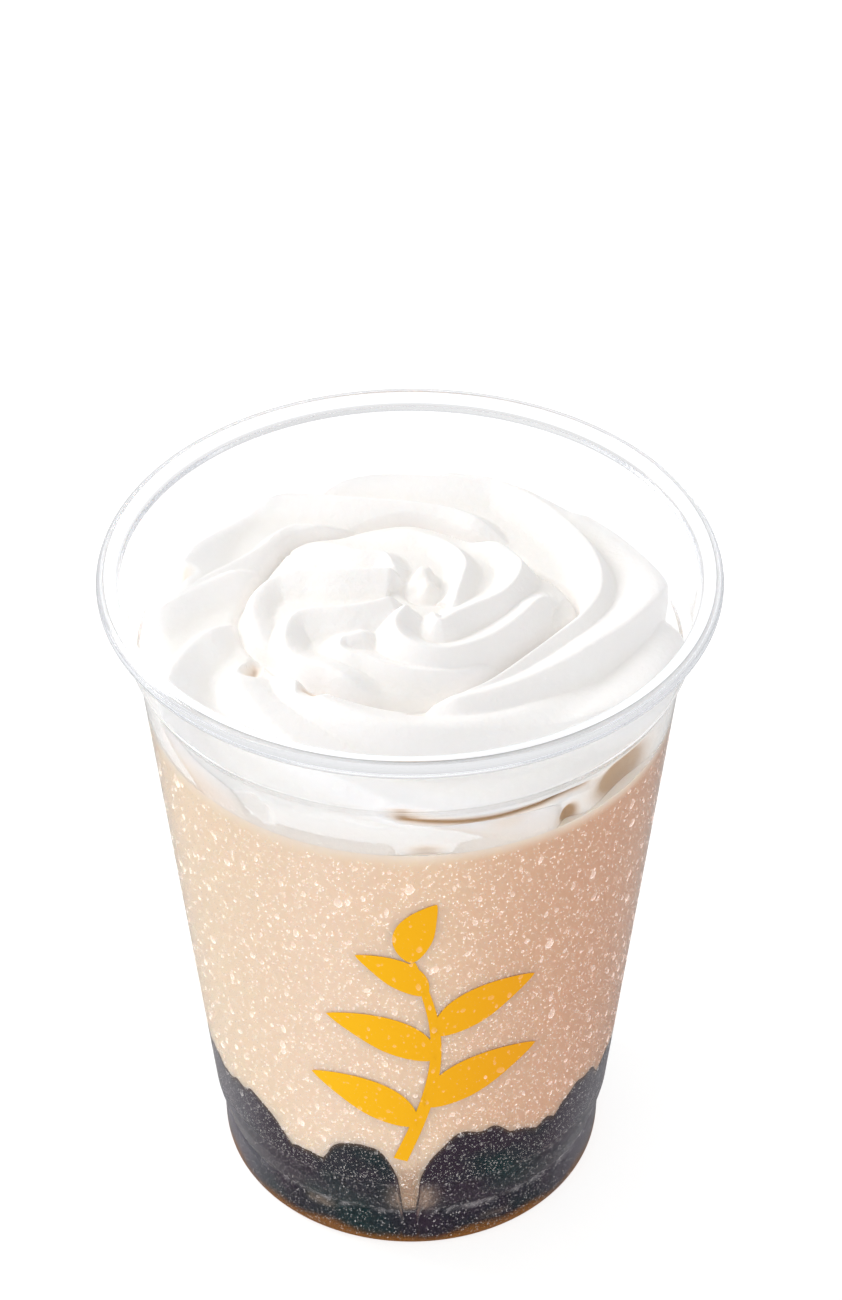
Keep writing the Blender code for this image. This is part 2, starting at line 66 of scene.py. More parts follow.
# ---- sizes of the looks alone ----------------------------
WALL = 0.5
SKIN = 0.22  # the contents end this far under the cup's outer face
SHARP_ANGLE = 50.0  # the contents' edges that bend more than this stay sharp

# ---- the photograph's camera -----------------------------
CAMERA_BACK = 406.89  # from the cup's axis
CAMERA_HEIGHT = 430.47
CAMERA_PITCH = 38.724  # below the horizon
CAMERA_YAW = 0.242  # to the right
CAMERA_LENS = 90.65
CAMERA_CLIP = (0.01, 20.0)  # metres

# ---- small helpers ---------------------------------------


def make_object(name, points, faces, mat):
    """A smooth mesh piece."""
    mesh = bpy.data.meshes.new(name)
    mesh.from_pydata((np.asarray(points, float) * MM).tolist(), [], faces)
    mesh.update()
    mesh.shade_smooth()
    mesh.materials.append(mat)
    obj = bpy.data.objects.new(name, mesh)
    bpy.context.scene.collection.objects.link(obj)
    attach(obj, "root")
    return obj


def points_of(obj):
    """A piece's points, one row each."""
    return np.array([vertex.co[:] for vertex in obj.data.vertices]) / MM


def azimuth_of(points):
    return np.degrees(np.arctan2(points[:, 1], points[:, 0])) % 360.0


def full_turn(count):
    """Evenly spaced angles round the axis, in radians."""
    return np.linspace(0.0, 2 * math.pi, count, endpoint=False)


def ring(radius, height, segments):
    """Points round the axis; radius and height are one number, or one for each point."""
    angle = full_turn(segments)
    return np.column_stack([radius * np.cos(angle), radius * np.sin(angle),
                            np.broadcast_to(height, segments)])


def drawn_in(points, share, lift):
    """A ring drawn in towards the axis to a share of its radius, and lifted."""
    return points * np.array([share, share, 1.0]) + np.array([0.0, 0.0, lift])


def grid_faces(rows, columns, closed=True):
    """Quads of a grid of points; a closed grid's last column joins up with its first."""
    r, c = np.meshgrid(np.arange(rows - 1), np.arange(columns if closed else columns - 1), indexing="ij")
    n = (c + 1) % columns
    quads = np.stack([r * columns + c, r * columns + n, (r + 1) * columns + n, (r + 1) * columns + c], -1)
    return quads.reshape(-1, 4).tolist()


def fan_faces(pole, first, segments, last_ring):
    """Triangles that join a pole to the ring whose points start at index first."""
    edges = [(first + i, first + (i + 1) % segments) for i in range(segments)]
    return [(pole, a, b) if last_ring else (pole, b, a) for a, b in edges]


def ring_object(name, rings, start_pole, end_pole, mat, sharp_angle=None):
    """A closed piece from rings of points, with a pole at each end."""
    segments = len(rings[0])
    points = np.concatenate([*rings, np.array([start_pole, end_pole])])
    faces = grid_faces(len(rings), segments)
    faces += fan_faces(len(points) - 2, 0, segments, False)
    faces += fan_faces(len(points) - 1, (len(rings) - 1) * segments, segments, True)
    obj = make_object(name, points, faces, mat)
    if sharp_angle is not None:
        obj.data.set_sharp_from_angle(angle=math.radians(sharp_angle))
    return obj


def set_attribute(obj, name, values):
    """A number for each point, which materials read by name."""
    layer = obj.data.attributes.new(name, "FLOAT", "POINT")
    layer.data.foreach_set("value", np.asarray(values, np.float32))


def smoothstep(low, high, value):
    t = np.clip((value - low) / (high - low), 0.0, 1.0)
    return t * t * (3 - 2 * t)


# ---- materials -------------------------------------------


class Shader:
    """A node material with a Principled shader and short ways to feed it."""

    def __init__(self, name, colour, roughness, **values):
        self.mat = bpy.data.materials.new(name)
        self.mat.use_nodes = True
        self.tree = self.mat.node_tree
        self.bsdf = self.tree.nodes["Principled BSDF"]
        self.bsdf.inputs["Base Color"].default_value = (*colour, 1.0)
        self.bsdf.inputs["Roughness"].default_value = roughness
        for key, value in values.items():
            self.bsdf.inputs[key.replace("_", " ")].default_value = value

    def node(self, kind, **settings):
        """A node with its sockets or its settings filled in."""
        node = self.tree.nodes.new(kind)
        for key, value in settings.items():
            if key in node.inputs:
                node.inputs[key].default_value = value
            else:
                setattr(node, key, value)
        return node

    def link(self, source, target):
        self.tree.links.new(source, target)

    def feed(self, source, socket):
        self.link(source, self.bsdf.inputs[socket])

    def attribute(self, name):
        return self.node("ShaderNodeAttribute", attribute_name=name).outputs["Fac"]

    def noise(self, scale, detail=2.0, roughness=0.5):
        """Noise in the object's own space; scale is in cells per metre."""
        place = self.node("ShaderNodeTexCoord")
        noise = self.node("ShaderNodeTexNoise", Scale=scale, Detail=detail, Roughness=roughness)
        self.link(place.outputs["Object"], noise.inputs["Vector"])
        return noise.outputs["Fac"]

    def spread(self, source, low, high):
        """Runs from low to high as the source runs from 0 to 1."""
        spread = self.node("ShaderNodeMapRange")
        spread.inputs["To Min"].default_value = low
        spread.inputs["To Max"].default_value = high
        self.link(source, spread.inputs["Value"])
        return spread.outputs["Result"]

    def ramp(self, source, stops):
        """A colour ramp; stops are (position, colour)."""
        ramp = self.node("ShaderNodeValToRGB")
        elements = ramp.color_ramp.elements
        while len(elements) < len(stops):
            elements.new(0.5)
        for element, (position, colour) in zip(elements, stops):
            element.position = position
            element.color = (*colour, 1.0)
        self.link(source, ramp.inputs["Fac"])
        return ramp.outputs["Color"]

    def mix(self, factor, first, second):
        """Blends two colours, each a socket or a plain colour."""
        mix = self.node("ShaderNodeMix", data_type="RGBA")
        self.link(factor, mix.inputs[0])
        for socket, value in ((mix.inputs[6], first), (mix.inputs[7], second)):
            if isinstance(value, tuple):
                socket.default_value = (*value, 1.0)
            else:
                self.link(value, socket)
        return mix.outputs[2]

    def bump(self, height, strength, distance):
        """Bump by a height socket; distance in metres."""
        bump = self.node("ShaderNodeBump", Strength=strength, Distance=distance)
        self.link(height, bump.inputs["Height"])
        self.feed(bump.outputs["Normal"], "Normal")

    def scatter(self, weight, radius):
        """Light goes in and comes out again, up to the radius (metres) of each colour."""
        self.bsdf.inputs["Subsurface Weight"].default_value = weight
        self.bsdf.inputs["Subsurface Radius"].default_value = radius
        self.bsdf.inputs["Subsurface Scale"].default_value = 1.0


def clear_plastic():
    """Clear plastic with a faint blue cast, dulled by dew where the drink behind it is cold."""
    s = Shader("clear_plastic", (0.985, 0.99, 1.0), 0.03, IOR=1.49, Specular_Tint=(0.4, 0.4, 0.4, 1.0),
               Transmission_Weight=1.0)
    s.feed(s.spread(s.attribute("dewy"), 0.03, 0.28), "Roughness")
    s.bump(s.noise(90.0), 0.04, 0.0004)
    return s.mat


def shake_liquid():
    """Milky roasted-tea drink: slightly translucent, with painted shade that makes it deeper and pinker
    towards the right.
    """
    s = Shader("shake_liquid", (0.92, 0.77, 0.62), 0.5, Specular_IOR_Level=0.0)
    s.scatter(0.25, (0.004, 0.0025, 0.0015))
    side = s.node("ShaderNodeMath", operation="MULTIPLY_ADD")
    s.link(s.noise(40.0, 4.0, 0.6), side.inputs[0])
    side.inputs[1].default_value = 0.12  # the noise's share
    s.link(s.attribute("side"), side.inputs[2])
    # painted shade: the ramp darkens and reddens the drink from left to right, where the light falls off
    tone_with_painted_shade = s.ramp(side.outputs[0], [
        (0.15, (0.895, 0.785, 0.655)), (0.365, (0.92, 0.795, 0.675)), (0.56, (0.895, 0.745, 0.60)),
        (0.73, (0.82, 0.62, 0.472)), (0.88, (0.78, 0.55, 0.405)), (1.0, (0.74, 0.50, 0.355)),
    ])
    with_darker_neck = s.mix(s.attribute("darker_neck"), tone_with_painted_shade, (0.55, 0.38, 0.27))
    s.feed(s.mix(s.attribute("pale_band"), with_darker_neck, (0.99, 0.90, 0.80)), "Base Color")
    s.bump(s.noise(900.0), 0.15, 0.0002)
    return s.mat


def dark_jelly():
    """Near-black jelly with teal and violet patches, brown where it thins at the foot, a painted grey sheen
    at its sides and a painted highlight line at the cup's groove.
    """
    s = Shader("dark_jelly", (0.012, 0.011, 0.013), 0.4, Specular_IOR_Level=0.0)
    patches = s.ramp(s.noise(70.0, 3.0, 0.55), [(0.38, (0.0, 0.028, 0.034)), (0.6, (0.040, 0.020, 0.045))])
    # painted sheen: grey at the sides, standing in for the wall's grazing reflection
    with_painted_sheen = s.mix(s.attribute("painted_sheen"), patches, (0.205, 0.192, 0.232))
    browned = s.mix(s.attribute("thin"), with_painted_sheen, (0.34, 0.135, 0.018))
    blended = s.mix(s.attribute("blend"), browned, (0.13, 0.085, 0.06))
    milky = s.mix(s.attribute("milk"), blended, (0.74, 0.56, 0.43))
    # painted highlight: a pale line on the jelly where the cup's groove catches the light
    s.feed(s.mix(s.attribute("painted_groove_highlight"), milky, (0.62, 0.59, 0.60)), "Base Color")
    s.bump(s.noise(300.0, 3.0), 0.25, 0.0004)
    return s.mat


def whipped_cream():
    """Soft white cream, finely pitted, with shake showing in its folds and hollows, a painted dark-brown
    shade where they are deepest, and painted shade where its ridges sink low.
    """
    s = Shader("whipped_cream", (0.97, 0.96, 0.94), 0.55)
    s.scatter(0.2, (0.0016, 0.0013, 0.0011))
    # painted shade: low places between the ridges get a darker, warmer white
    white = s.mix(s.attribute("hollow"), (0.962, 0.946, 0.941), (0.945, 0.920, 0.897))
    # shake showing in folds and pockets; its dark brown end is painted shade in the deepest of them
    stain_and_shade = s.attribute("stain_and_shade")
    shake = s.ramp(stain_and_shade, [(0.35, (0.90, 0.71, 0.54)), (0.9, (0.46, 0.26, 0.10))])
    s.feed(s.mix(stain_and_shade, white, shake), "Base Color")
    s.bump(s.noise(700.0, 4.0, 0.6), 0.55, 0.0004)
    return s.mat


def print_ink():
    """Golden yellow ink, with painted shade that makes it a little deeper towards the right."""
    s = Shader("print_ink", (0.95, 0.50, 0.0), 0.5, Specular_IOR_Level=0.1)
    s.feed(s.ramp(s.attribute("shade_to_right"), [(0.3, (0.97, 0.52, 0.0)), (0.85, (0.80, 0.32, 0.0))]), "Base Color")
    return s.mat


def water(name, roughness):
    """Dew: a drop is seen through, but for a painted glow that stands in for the light that it scatters and
    focuses.
    """
    # painted light: the drops glow though they are no lamp
    s = Shader(name, (0.98, 0.93, 0.90), roughness, Emission_Color=(1.0, 0.95, 0.92, 1.0),
               Emission_Strength=0.45)
    s.feed(s.attribute("painted_glow"), "Alpha")
    s.bump(s.noise(2500.0, 1.0), 0.05, 0.0001)
    return s.mat


# ---- the cup ---------------------------------------------
AXIS_GAP = 0.1  # radius where the base's profile starts
FLOOR_FLAT = 22.0  # radius of the base's flat middle
FLOOR_BEND = (27.6, 0.75)  # a radius outside it, and the share of the rise that is left there
INNER_FOOT = (0.3, 0.9)  # the corner inside the foot: out from the foot ring, and in from the wall and up
CORNER_ROUNDING = 0.6
CURL_TURN = (188.0, -150.0)  # where the rolled rim's curl starts and ends
CURL_STEPS = 34
CUP_SEGMENTS = 256
DEWY_EDGE = (-6.0, 2.0)  # the dull wall turns clear between these heights from the shake's level


def rounded(points, radius, steps=6):
    """Rounds the corners of an open line of (r, z) points, over less than half of a side."""
    points = [np.array(p, float) for p in points]
    line = [points[0]]
    for before, corner, after in zip(points[:-2], points[1:-1], points[2:]):
        reach = min(radius, np.linalg.norm(before - corner) * 0.45, np.linalg.norm(after - corner) * 0.45)
        start = corner + (before - corner) / np.linalg.norm(before - corner) * reach
        end = corner + (after - corner) / np.linalg.norm(after - corner) * reach
        for t in np.linspace(0.0, 1.0, steps):
            line.append((1 - t) ** 2 * start + 2 * t * (1 - t) * corner + t ** 2 * end)
    line.append(points[-1])
    return np.array(line)


def wall_profile():
    """The cup's outer face from the foot ring up to the collar, as (r, z)."""
    return [
        (FOOT_RING[1], 0.0), (BASE_RADIUS - 0.2, 0.5), (BASE_RADIUS, 1.5),
        (BASE_RADIUS + 0.15, GROOVE_HEIGHT - 0.9), (BASE_RADIUS - 0.1, GROOVE_HEIGHT),
        (BASE_RADIUS + 0.35, GROOVE_HEIGHT + 0.9), (KNEE_RADIUS - 0.65, KNEE_HEIGHT - 2.8),
        (KNEE_RADIUS, KNEE_HEIGHT), (SHOULDER_RADIUS, SHOULDER_HEIGHT),
        (SHOULDER_RADIUS + 0.5, SHOULDER_HEIGHT + 1.0), (COLLAR_RADIUS - 0.2, COLLAR_HEIGHT - 0.6),
        (COLLAR_RADIUS, COLLAR_HEIGHT), COLLAR_TOP,
    ]


def outer_radius(height):
    """Radius of the cup's outer face at a height."""
    radii, heights = zip(*wall_profile())
    return np.interp(height, heights, radii)


def content_radius(height):
    """What fills the cup reaches just into its wall."""
    return outer_radius(height) - SKIN


def curl(radius):
    """A line round the rolled rim's bead: from underneath, over the outside and the top, to the wall."""
    turns = np.radians(np.linspace(*CURL_TURN, CURL_STEPS))[::-1]
    across, up = RIM_DIAMETER / 2 - RIM_BEAD_RADIUS, CUP_HEIGHT - RIM_BEAD_RADIUS
    return [(across + radius * math.cos(a), up + radius * math.sin(a)) for a in turns]


def build_cup(mat):
    floor = [(AXIS_GAP, FLOOR_RISE), (FLOOR_FLAT, FLOOR_RISE), (FLOOR_BEND[0], FLOOR_RISE * FLOOR_BEND[1])]
    outer = rounded(floor + [(FOOT_RING[0], 0.0)] + wall_profile(), CORNER_ROUNDING)
    corner = [(FOOT_RING[0] + INNER_FOOT[0], WALL), (BASE_RADIUS - INNER_FOOT[1], INNER_FOOT[1])]
    inner = rounded([(r, z + WALL) for r, z in floor] + corner
                    + [(r - WALL, z) for r, z in wall_profile()[2:]], CORNER_ROUNDING)
    # both curls run the same way, so two thin rings of faces cross the hollow rim's wall
    profile = np.concatenate([outer, curl(RIM_BEAD_RADIUS - WALL)[:-1], curl(RIM_BEAD_RADIUS), inner[::-1]])
    rings = [ring(r, z, CUP_SEGMENTS) for r, z in profile]
    cup = ring_object("cup_shell", rings, (0, 0, profile[0, 1]), (0, 0, profile[-1, 1]), mat)
    above = points_of(cup)[:, 2] - SHAKE_LEVEL
    set_attribute(cup, "dewy", 1.0 - smoothstep(*DEWY_EDGE, above))
    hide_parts("cup")


def from_left(azimuth):
    """How far round from the left (0) to the right (1) a place is."""
    return 0.5 + 0.5 * np.cos(np.radians(azimuth))


# ---- the jelly and the shake -----------------------------
JELLY_BED = 10.0
# The heap's lumps, as azimuth, distance from the axis, height of the top and half width.
LUMPS = [
    (199, 26, 29.0, 17.0), (219, 31, 28.5, 11.0), (240, 32, 21.0, 9.0), (255.5, 31, 28.6, 7.6),
    (287.5, 31, 30.8, 9.8), (299, 31, 27.5, 8.5), (311, 32, 25.5, 8.0), (323, 30, 31.0, 9.5),
    (341, 29, 28.5, 12.0), (2, 28, 27.0, 12.0), (26, 29, 31.5, 11.5), (50, 30, 25.0, 12.0),
    (74, 29, 30.0, 11.5), (99, 30, 24.5, 12.0), (123, 29, 31.0, 12.5), (150, 28, 26.5, 13.0),
    (174, 29, 29.5, 12.0), (40, 11, 25.0, 15.0), (150, 12, 27.0, 15.0), (238, 13, 23.5, 13.0),
    (322, 12, 26.0, 14.0),
]
LUMP_SQUARENESS = 3.2  # how late a lump's side drops
LUMP_ROUNDNESS = 2.2  # how steeply it drops
HEAP_SEGMENTS = 288
HEAP_SHARES = np.linspace(1.0, 0.04, 30)  # rings over the heap, as shares of the wall's radius
JELLY_FOOT = 0.3  # height where the jelly's side starts
JELLY_SIDE_RINGS = 26
# The jelly's underside over the raised floor: shares of the foot's radius, with their heights.
JELLY_UNDER = ((0.7, 3.1), (0.84, 2.5), (0.95, 0.9), (0.985, 0.35))
JELLY_UNDER_MIDDLE = 3.2
# Milky patches between the jelly and the wall: azimuth, height, half width, half height, strength.
MILKY = [(270.5, 12.8, 6.5, 3.4, 0.9), (242.0, 7.2, 4.5, 1.0, 0.5), (296.0, 4.6, 5.0, 0.8, 0.25)]
THIN_FOOT = (1.4, 3.2)  # the foot's brown fades out between these heights
EDGE_BLEND = (-1.6, 0.2)  # the drink tints the jelly between these heights from its upper edge
GROOVE_HIGHLIGHT_WIDTH = 0.22  # of the painted highlight line where the cup's foot begins, standing in for the light that its groove catches
GROOVE_HIGHLIGHT_STRENGTH = 0.8
PAINTED_SHEEN_SIDES = (0.6, 1.0)  # the jelly gets a painted grey sheen, for the wall's grazing reflection, between these cosines, seen from the front
SHAKE_GAP = 0.02  # between the jelly's top and the drink on it
SHAKE_SIDE_RINGS = 30
# The drink's top sinks a little towards the axis: shares of its radius, with the change in height.
SHAKE_TOP = ((0.985, -0.02), (0.9, -0.05))
DARK_NECK_PLACE = (270.0, 6.5)  # azimuth and half width of the darker, browner neck between two lumps
DARK_NECK_HEIGHTS = (24.0, 17.0)  # it fades in downwards between these
DARK_NECK_STRENGTH = 0.9
SHADE_PAINTED_TO_RIGHT = 0.94  # how far along its colours, into the painted shade, the drink gets on the right
PALE_BAND_EDGE = (-1.3, -0.3)  # the pale band sets in between these heights from the drink's level


def jelly_height(x, y):
    """Height of the jelly's top at a point, with a fine unevenness on the lumps."""
    height = np.full(np.shape(x), JELLY_BED)
    for azimuth, distance, top, half_width in LUMPS:
        cx = distance * math.cos(math.radians(azimuth))
        cy = distance * math.sin(math.radians(azimuth))
        reach = np.clip(np.hypot(x - cx, y - cy) / half_width, 0.0, 1.0)
        lump = (1.0 - reach ** LUMP_SQUARENESS) ** (1.0 / LUMP_ROUNDNESS)
        height = np.maximum(height, JELLY_BED + (top - JELLY_BED) * lump)
    ripple = 0.45 * np.sin(0.9 * x + 1.3 * np.sin(0.7 * y)) + 0.35 * np.sin(1.7 * y + 2.1 * np.sin(0.5 * x))
    return height + ripple


def heap_rings():
    """Rings over the heap's top, from the wall in towards the axis."""
    angle = full_turn(HEAP_SEGMENTS)
    edge = np.full(HEAP_SEGMENTS, KNEE_RADIUS)
    for _ in range(3):  # the wall leans, so its radius and the height settle in turns
        top = jelly_height(edge * np.cos(angle), edge * np.sin(angle))
        edge = content_radius(top)
    rings = []
    for share in HEAP_SHARES:
        x, y = edge * share * np.cos(angle), edge * share * np.sin(angle)
        rings.append(np.column_stack([x, y, top if share == 1.0 else jelly_height(x, y)]))
    return rings


def heap_line(azimuth):
    """Height of the jelly's upper edge at the wall; azimuth in radians."""
    edge = heap_rings()[0][:, 2]
    return np.interp(azimuth, np.linspace(0.0, 2 * math.pi, HEAP_SEGMENTS + 1), np.append(edge, edge[0]))


def side_rings(bottom, top, count):
    """Rings up the wall, between two lines of heights."""
    heights = [bottom + (top - bottom) * share for share in np.linspace(0.0, 1.0, count)]
    return [ring(content_radius(z), z, HEAP_SEGMENTS) for z in heights]


def milk_against_wall(azimuth, z):
    """How much shake shows in front of the jelly, mottled by a few waves."""
    mottle = np.sin(azimuth * 1.9 + 2.2 * np.sin(z * 1.3)) * np.sin(z * 2.6 + azimuth * 0.8)
    total = np.zeros(z.shape)
    for middle, height, half_turn, half_height, strength in MILKY:
        patch = np.exp(-((azimuth - middle) / half_turn) ** 4 - ((z - height) / half_height) ** 4)
        total += strength * patch * (0.65 + 0.35 * mottle)
    return total


def build_jelly(mat):
    top = heap_rings()
    foot = ring(content_radius(0.0), 0.0, HEAP_SEGMENTS)
    rings = [drawn_in(foot, share, lift) for share, lift in JELLY_UNDER]
    rings += side_rings(JELLY_FOOT, top[0][:, 2], JELLY_SIDE_RINGS) + top[1:]
    crown = (0, 0, float(jelly_height(0.0, 0.0)))
    jelly = ring_object("jelly_heap", rings, (0, 0, JELLY_UNDER_MIDDLE), crown, mat, SHARP_ANGLE)
    points = points_of(jelly)
    height, azimuth = points[:, 2], azimuth_of(points)
    turn = np.radians(azimuth)
    uneven = 0.6 * np.sin(turn * 7) + 0.4 * np.sin(turn * 17 + 1)
    set_attribute(jelly, "thin", 1.0 - smoothstep(*THIN_FOOT, height + uneven))
    set_attribute(jelly, "blend", smoothstep(*EDGE_BLEND, height - heap_line(turn)))
    set_attribute(jelly, "milk", milk_against_wall(azimuth, height))
    # painted highlight of the cup's groove
    set_attribute(jelly, "painted_groove_highlight", GROOVE_HIGHLIGHT_STRENGTH * np.exp(-((height - GROOVE_HEIGHT) / GROOVE_HIGHLIGHT_WIDTH) ** 2))
    # painted sheen at the sides
    set_attribute(jelly, "painted_sheen", smoothstep(*PAINTED_SHEEN_SIDES, np.abs(np.cos(turn))))
    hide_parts("jelly")


def build_shake(mat):
    under = [drawn_in(points, 1.0, SHAKE_GAP) for points in reversed(heap_rings())]
    side = side_rings(under[-1][:, 2], SHAKE_LEVEL, SHAKE_SIDE_RINGS)
    rings = under[:-1] + side + [drawn_in(side[-1], share, lift) for share, lift in SHAKE_TOP]
    bottom = (0, 0, float(jelly_height(0.0, 0.0)) + SHAKE_GAP)
    crown = (0, 0, SHAKE_LEVEL + SHAKE_TOP[-1][1])
    shake = ring_object("shake_body", rings, bottom, crown, mat, SHARP_ANGLE)
    points = points_of(shake)
    height, azimuth = points[:, 2], azimuth_of(points)
    neck = np.exp(-((azimuth - DARK_NECK_PLACE[0]) / DARK_NECK_PLACE[1]) ** 4) * smoothstep(*DARK_NECK_HEIGHTS, height)
    set_attribute(shake, "darker_neck", DARK_NECK_STRENGTH * neck)
    # painted shade, darker and pinker towards the right
    set_attribute(shake, "side", SHADE_PAINTED_TO_RIGHT * from_left(azimuth))
    set_attribute(shake, "pale_band", smoothstep(*PALE_BAND_EDGE, height - SHAKE_LEVEL))
    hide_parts("shake")


# ---- the whipped cream -----------------------------------
# The turned profile under the ridges. Reach is the way out from the axis over the top, and
# on down the side.
PROFILE_REACH = [0, 10, 18, 22, 25, 28, 31, 34, 36.5, 38.5, 40.5, 42.5, 44.5, 47, 50]
PROFILE_RADIUS = [0, 10, 18, 22, 25, 28, 31, 34, 36.4, 38.3, 39.9, 41.1, 41.9, 42.3, 42.4]
PROFILE_HEIGHT = [110.5, 110.5, 110.4, 110.5, 110.8, 111.0, 110.9, 110.6, 110.1, 109.4, 108.3, 106.6,
                  104.6, 102.0, CREAM_FOOT]
SLOPE_REACH = 1.0  # the profile's slope is taken this far to both sides
FOOT_FADE = 2.0  # over this last part of the reach the ridges stop moving the side up or down
# Every 30 degrees: how far the side stands in, and how much lower the shoulder is.
SIDE_INSET = [0.5, 0.8, 0.8, 1.2, 1.3, 1.0, 0.4, 0.0, 0.0, 0.0, 0.0, 0.0]
SHOULDER_DROP = [0.0, 0.0, 0.0, 0.0, 0.0, 0.0, 0.3, 1.4, 2.5, 3.0, 2.7, 1.2]
INSET_RUN = (24.0, 12.0)  # the reach where the inset starts, and the length that it grows over
SHOULDER_START = (29.0, 35.0)  # the reach where the shoulder's drop sets in
SHOULDER_END = (46.0, 41.0)  # and where it ends

# The upper tier's edge, as its reach every 15 degrees.
TIER_EDGE = [26.3, 25.3, 22.6, 22.4, 21.8, 22.5, 23.9, 23.7, 23.7, 26.0, 25.4, 25.4, 26.7, 26.2, 24.4,
             23.9, 23.4, 22.3, 21.9, 21.5, 20.7, 19.9, 20.5, 22.8]
TIER_EDGE_WIDTH = 1.6  # the edge drops over this distance
TIER_RISE = 2.4  # of the upper tier's shoulder over the lower tier
TIER_DOME = 1.75  # of its middle over its shoulder
TIER_FADE = 0.35  # share of the upper ridges' height that is lost at the edge
LOWER_START = (-1.0, 2.0)  # the lower ridges rise between these distances past the edge
EDGE_CREASE = (1.1, 0.3, 0.9)  # the fold where the tiers meet: depth, distance past the edge, half width

# Ridges left by the star tip, each a curve of (azimuth, reach) that runs outward and, in the
# end, counter-clockwise, with its height, inner width and outer width.
UPPER_RIDGES = {
    "fold_a": ([
        (92, 2.0), (122, 4.2), (142, 6.3), (152, 8.2), (161, 12.0), (163, 17.7), (168, 22.6),
        (175, 24.5), (184, 25.8), (192, 26.3), (200, 26.8), (208, 26.4), (215, 25.7),
    ], 3.5, 4.5, 3.2),
    "fold_b": ([
        (-95, 1.6), (-126, 3.6), (-138, 6.2), (-150, 10.4), (-161, 16.0), (-162, 18.7), (-158, 20.8),
        (-151, 22.7), (-144, 23.4), (-137, 23.0), (-128, 21.9), (-116, 22.0), (-106, 22.5), (-96, 23.1),
    ], 3.5, 4.5, 3.0),
    "fold_c": ([
        (-117, 9.0), (-123, 11.2), (-130, 13.4), (-134, 15.2), (-131, 16.6), (-125, 16.9), (-116, 16.4),
        (-104, 16.9), (-93, 17.5), (-76, 18.4), (-64, 19.2), (-55, 19.2), (-44, 20.2), (-34, 21.2),
    ], 2.1, 3.2, 3.0),
    "fold_d": ([
        (-71, 2.7), (-96, 5.5), (-104, 9.7), (-97, 12.2), (-86, 14.2), (-74, 15.6), (-62, 16.1),
        (-50, 16.4), (-36, 17.0), (-21, 18.2), (-6, 20.4), (1, 22.3), (1, 24.1), (-5, 24.7),
    ], 3.7, 4.5, 3.4),
    "fold_e": ([
        (-58, 4.4), (-62, 6.8), (-63, 9.7), (-40, 9.9), (-21, 11.5), (-7, 14.1), (5, 16.3), (20, 18.9),
        (28, 20.1), (40, 20.6), (54, 20.0), (68, 19.2),
    ], 3.4, 4.5, 3.2),
    "fold_f": ([
        (-50, 5.6), (-32, 7.5), (-2, 7.5), (22, 8.9), (42, 11.8), (62, 14.2), (82, 16.0), (100, 18.0),
        (116, 20.4),
    ], 2.4, 3.6, 2.6),
    "fold_g": ([
        (88, 3.0), (113, 5.9), (113, 10.4), (128, 13.3), (135, 18.5), (141, 22.5), (146, 23.4),
        (154, 23.4),
    ], 2.5, 4.5, 3.2),
}
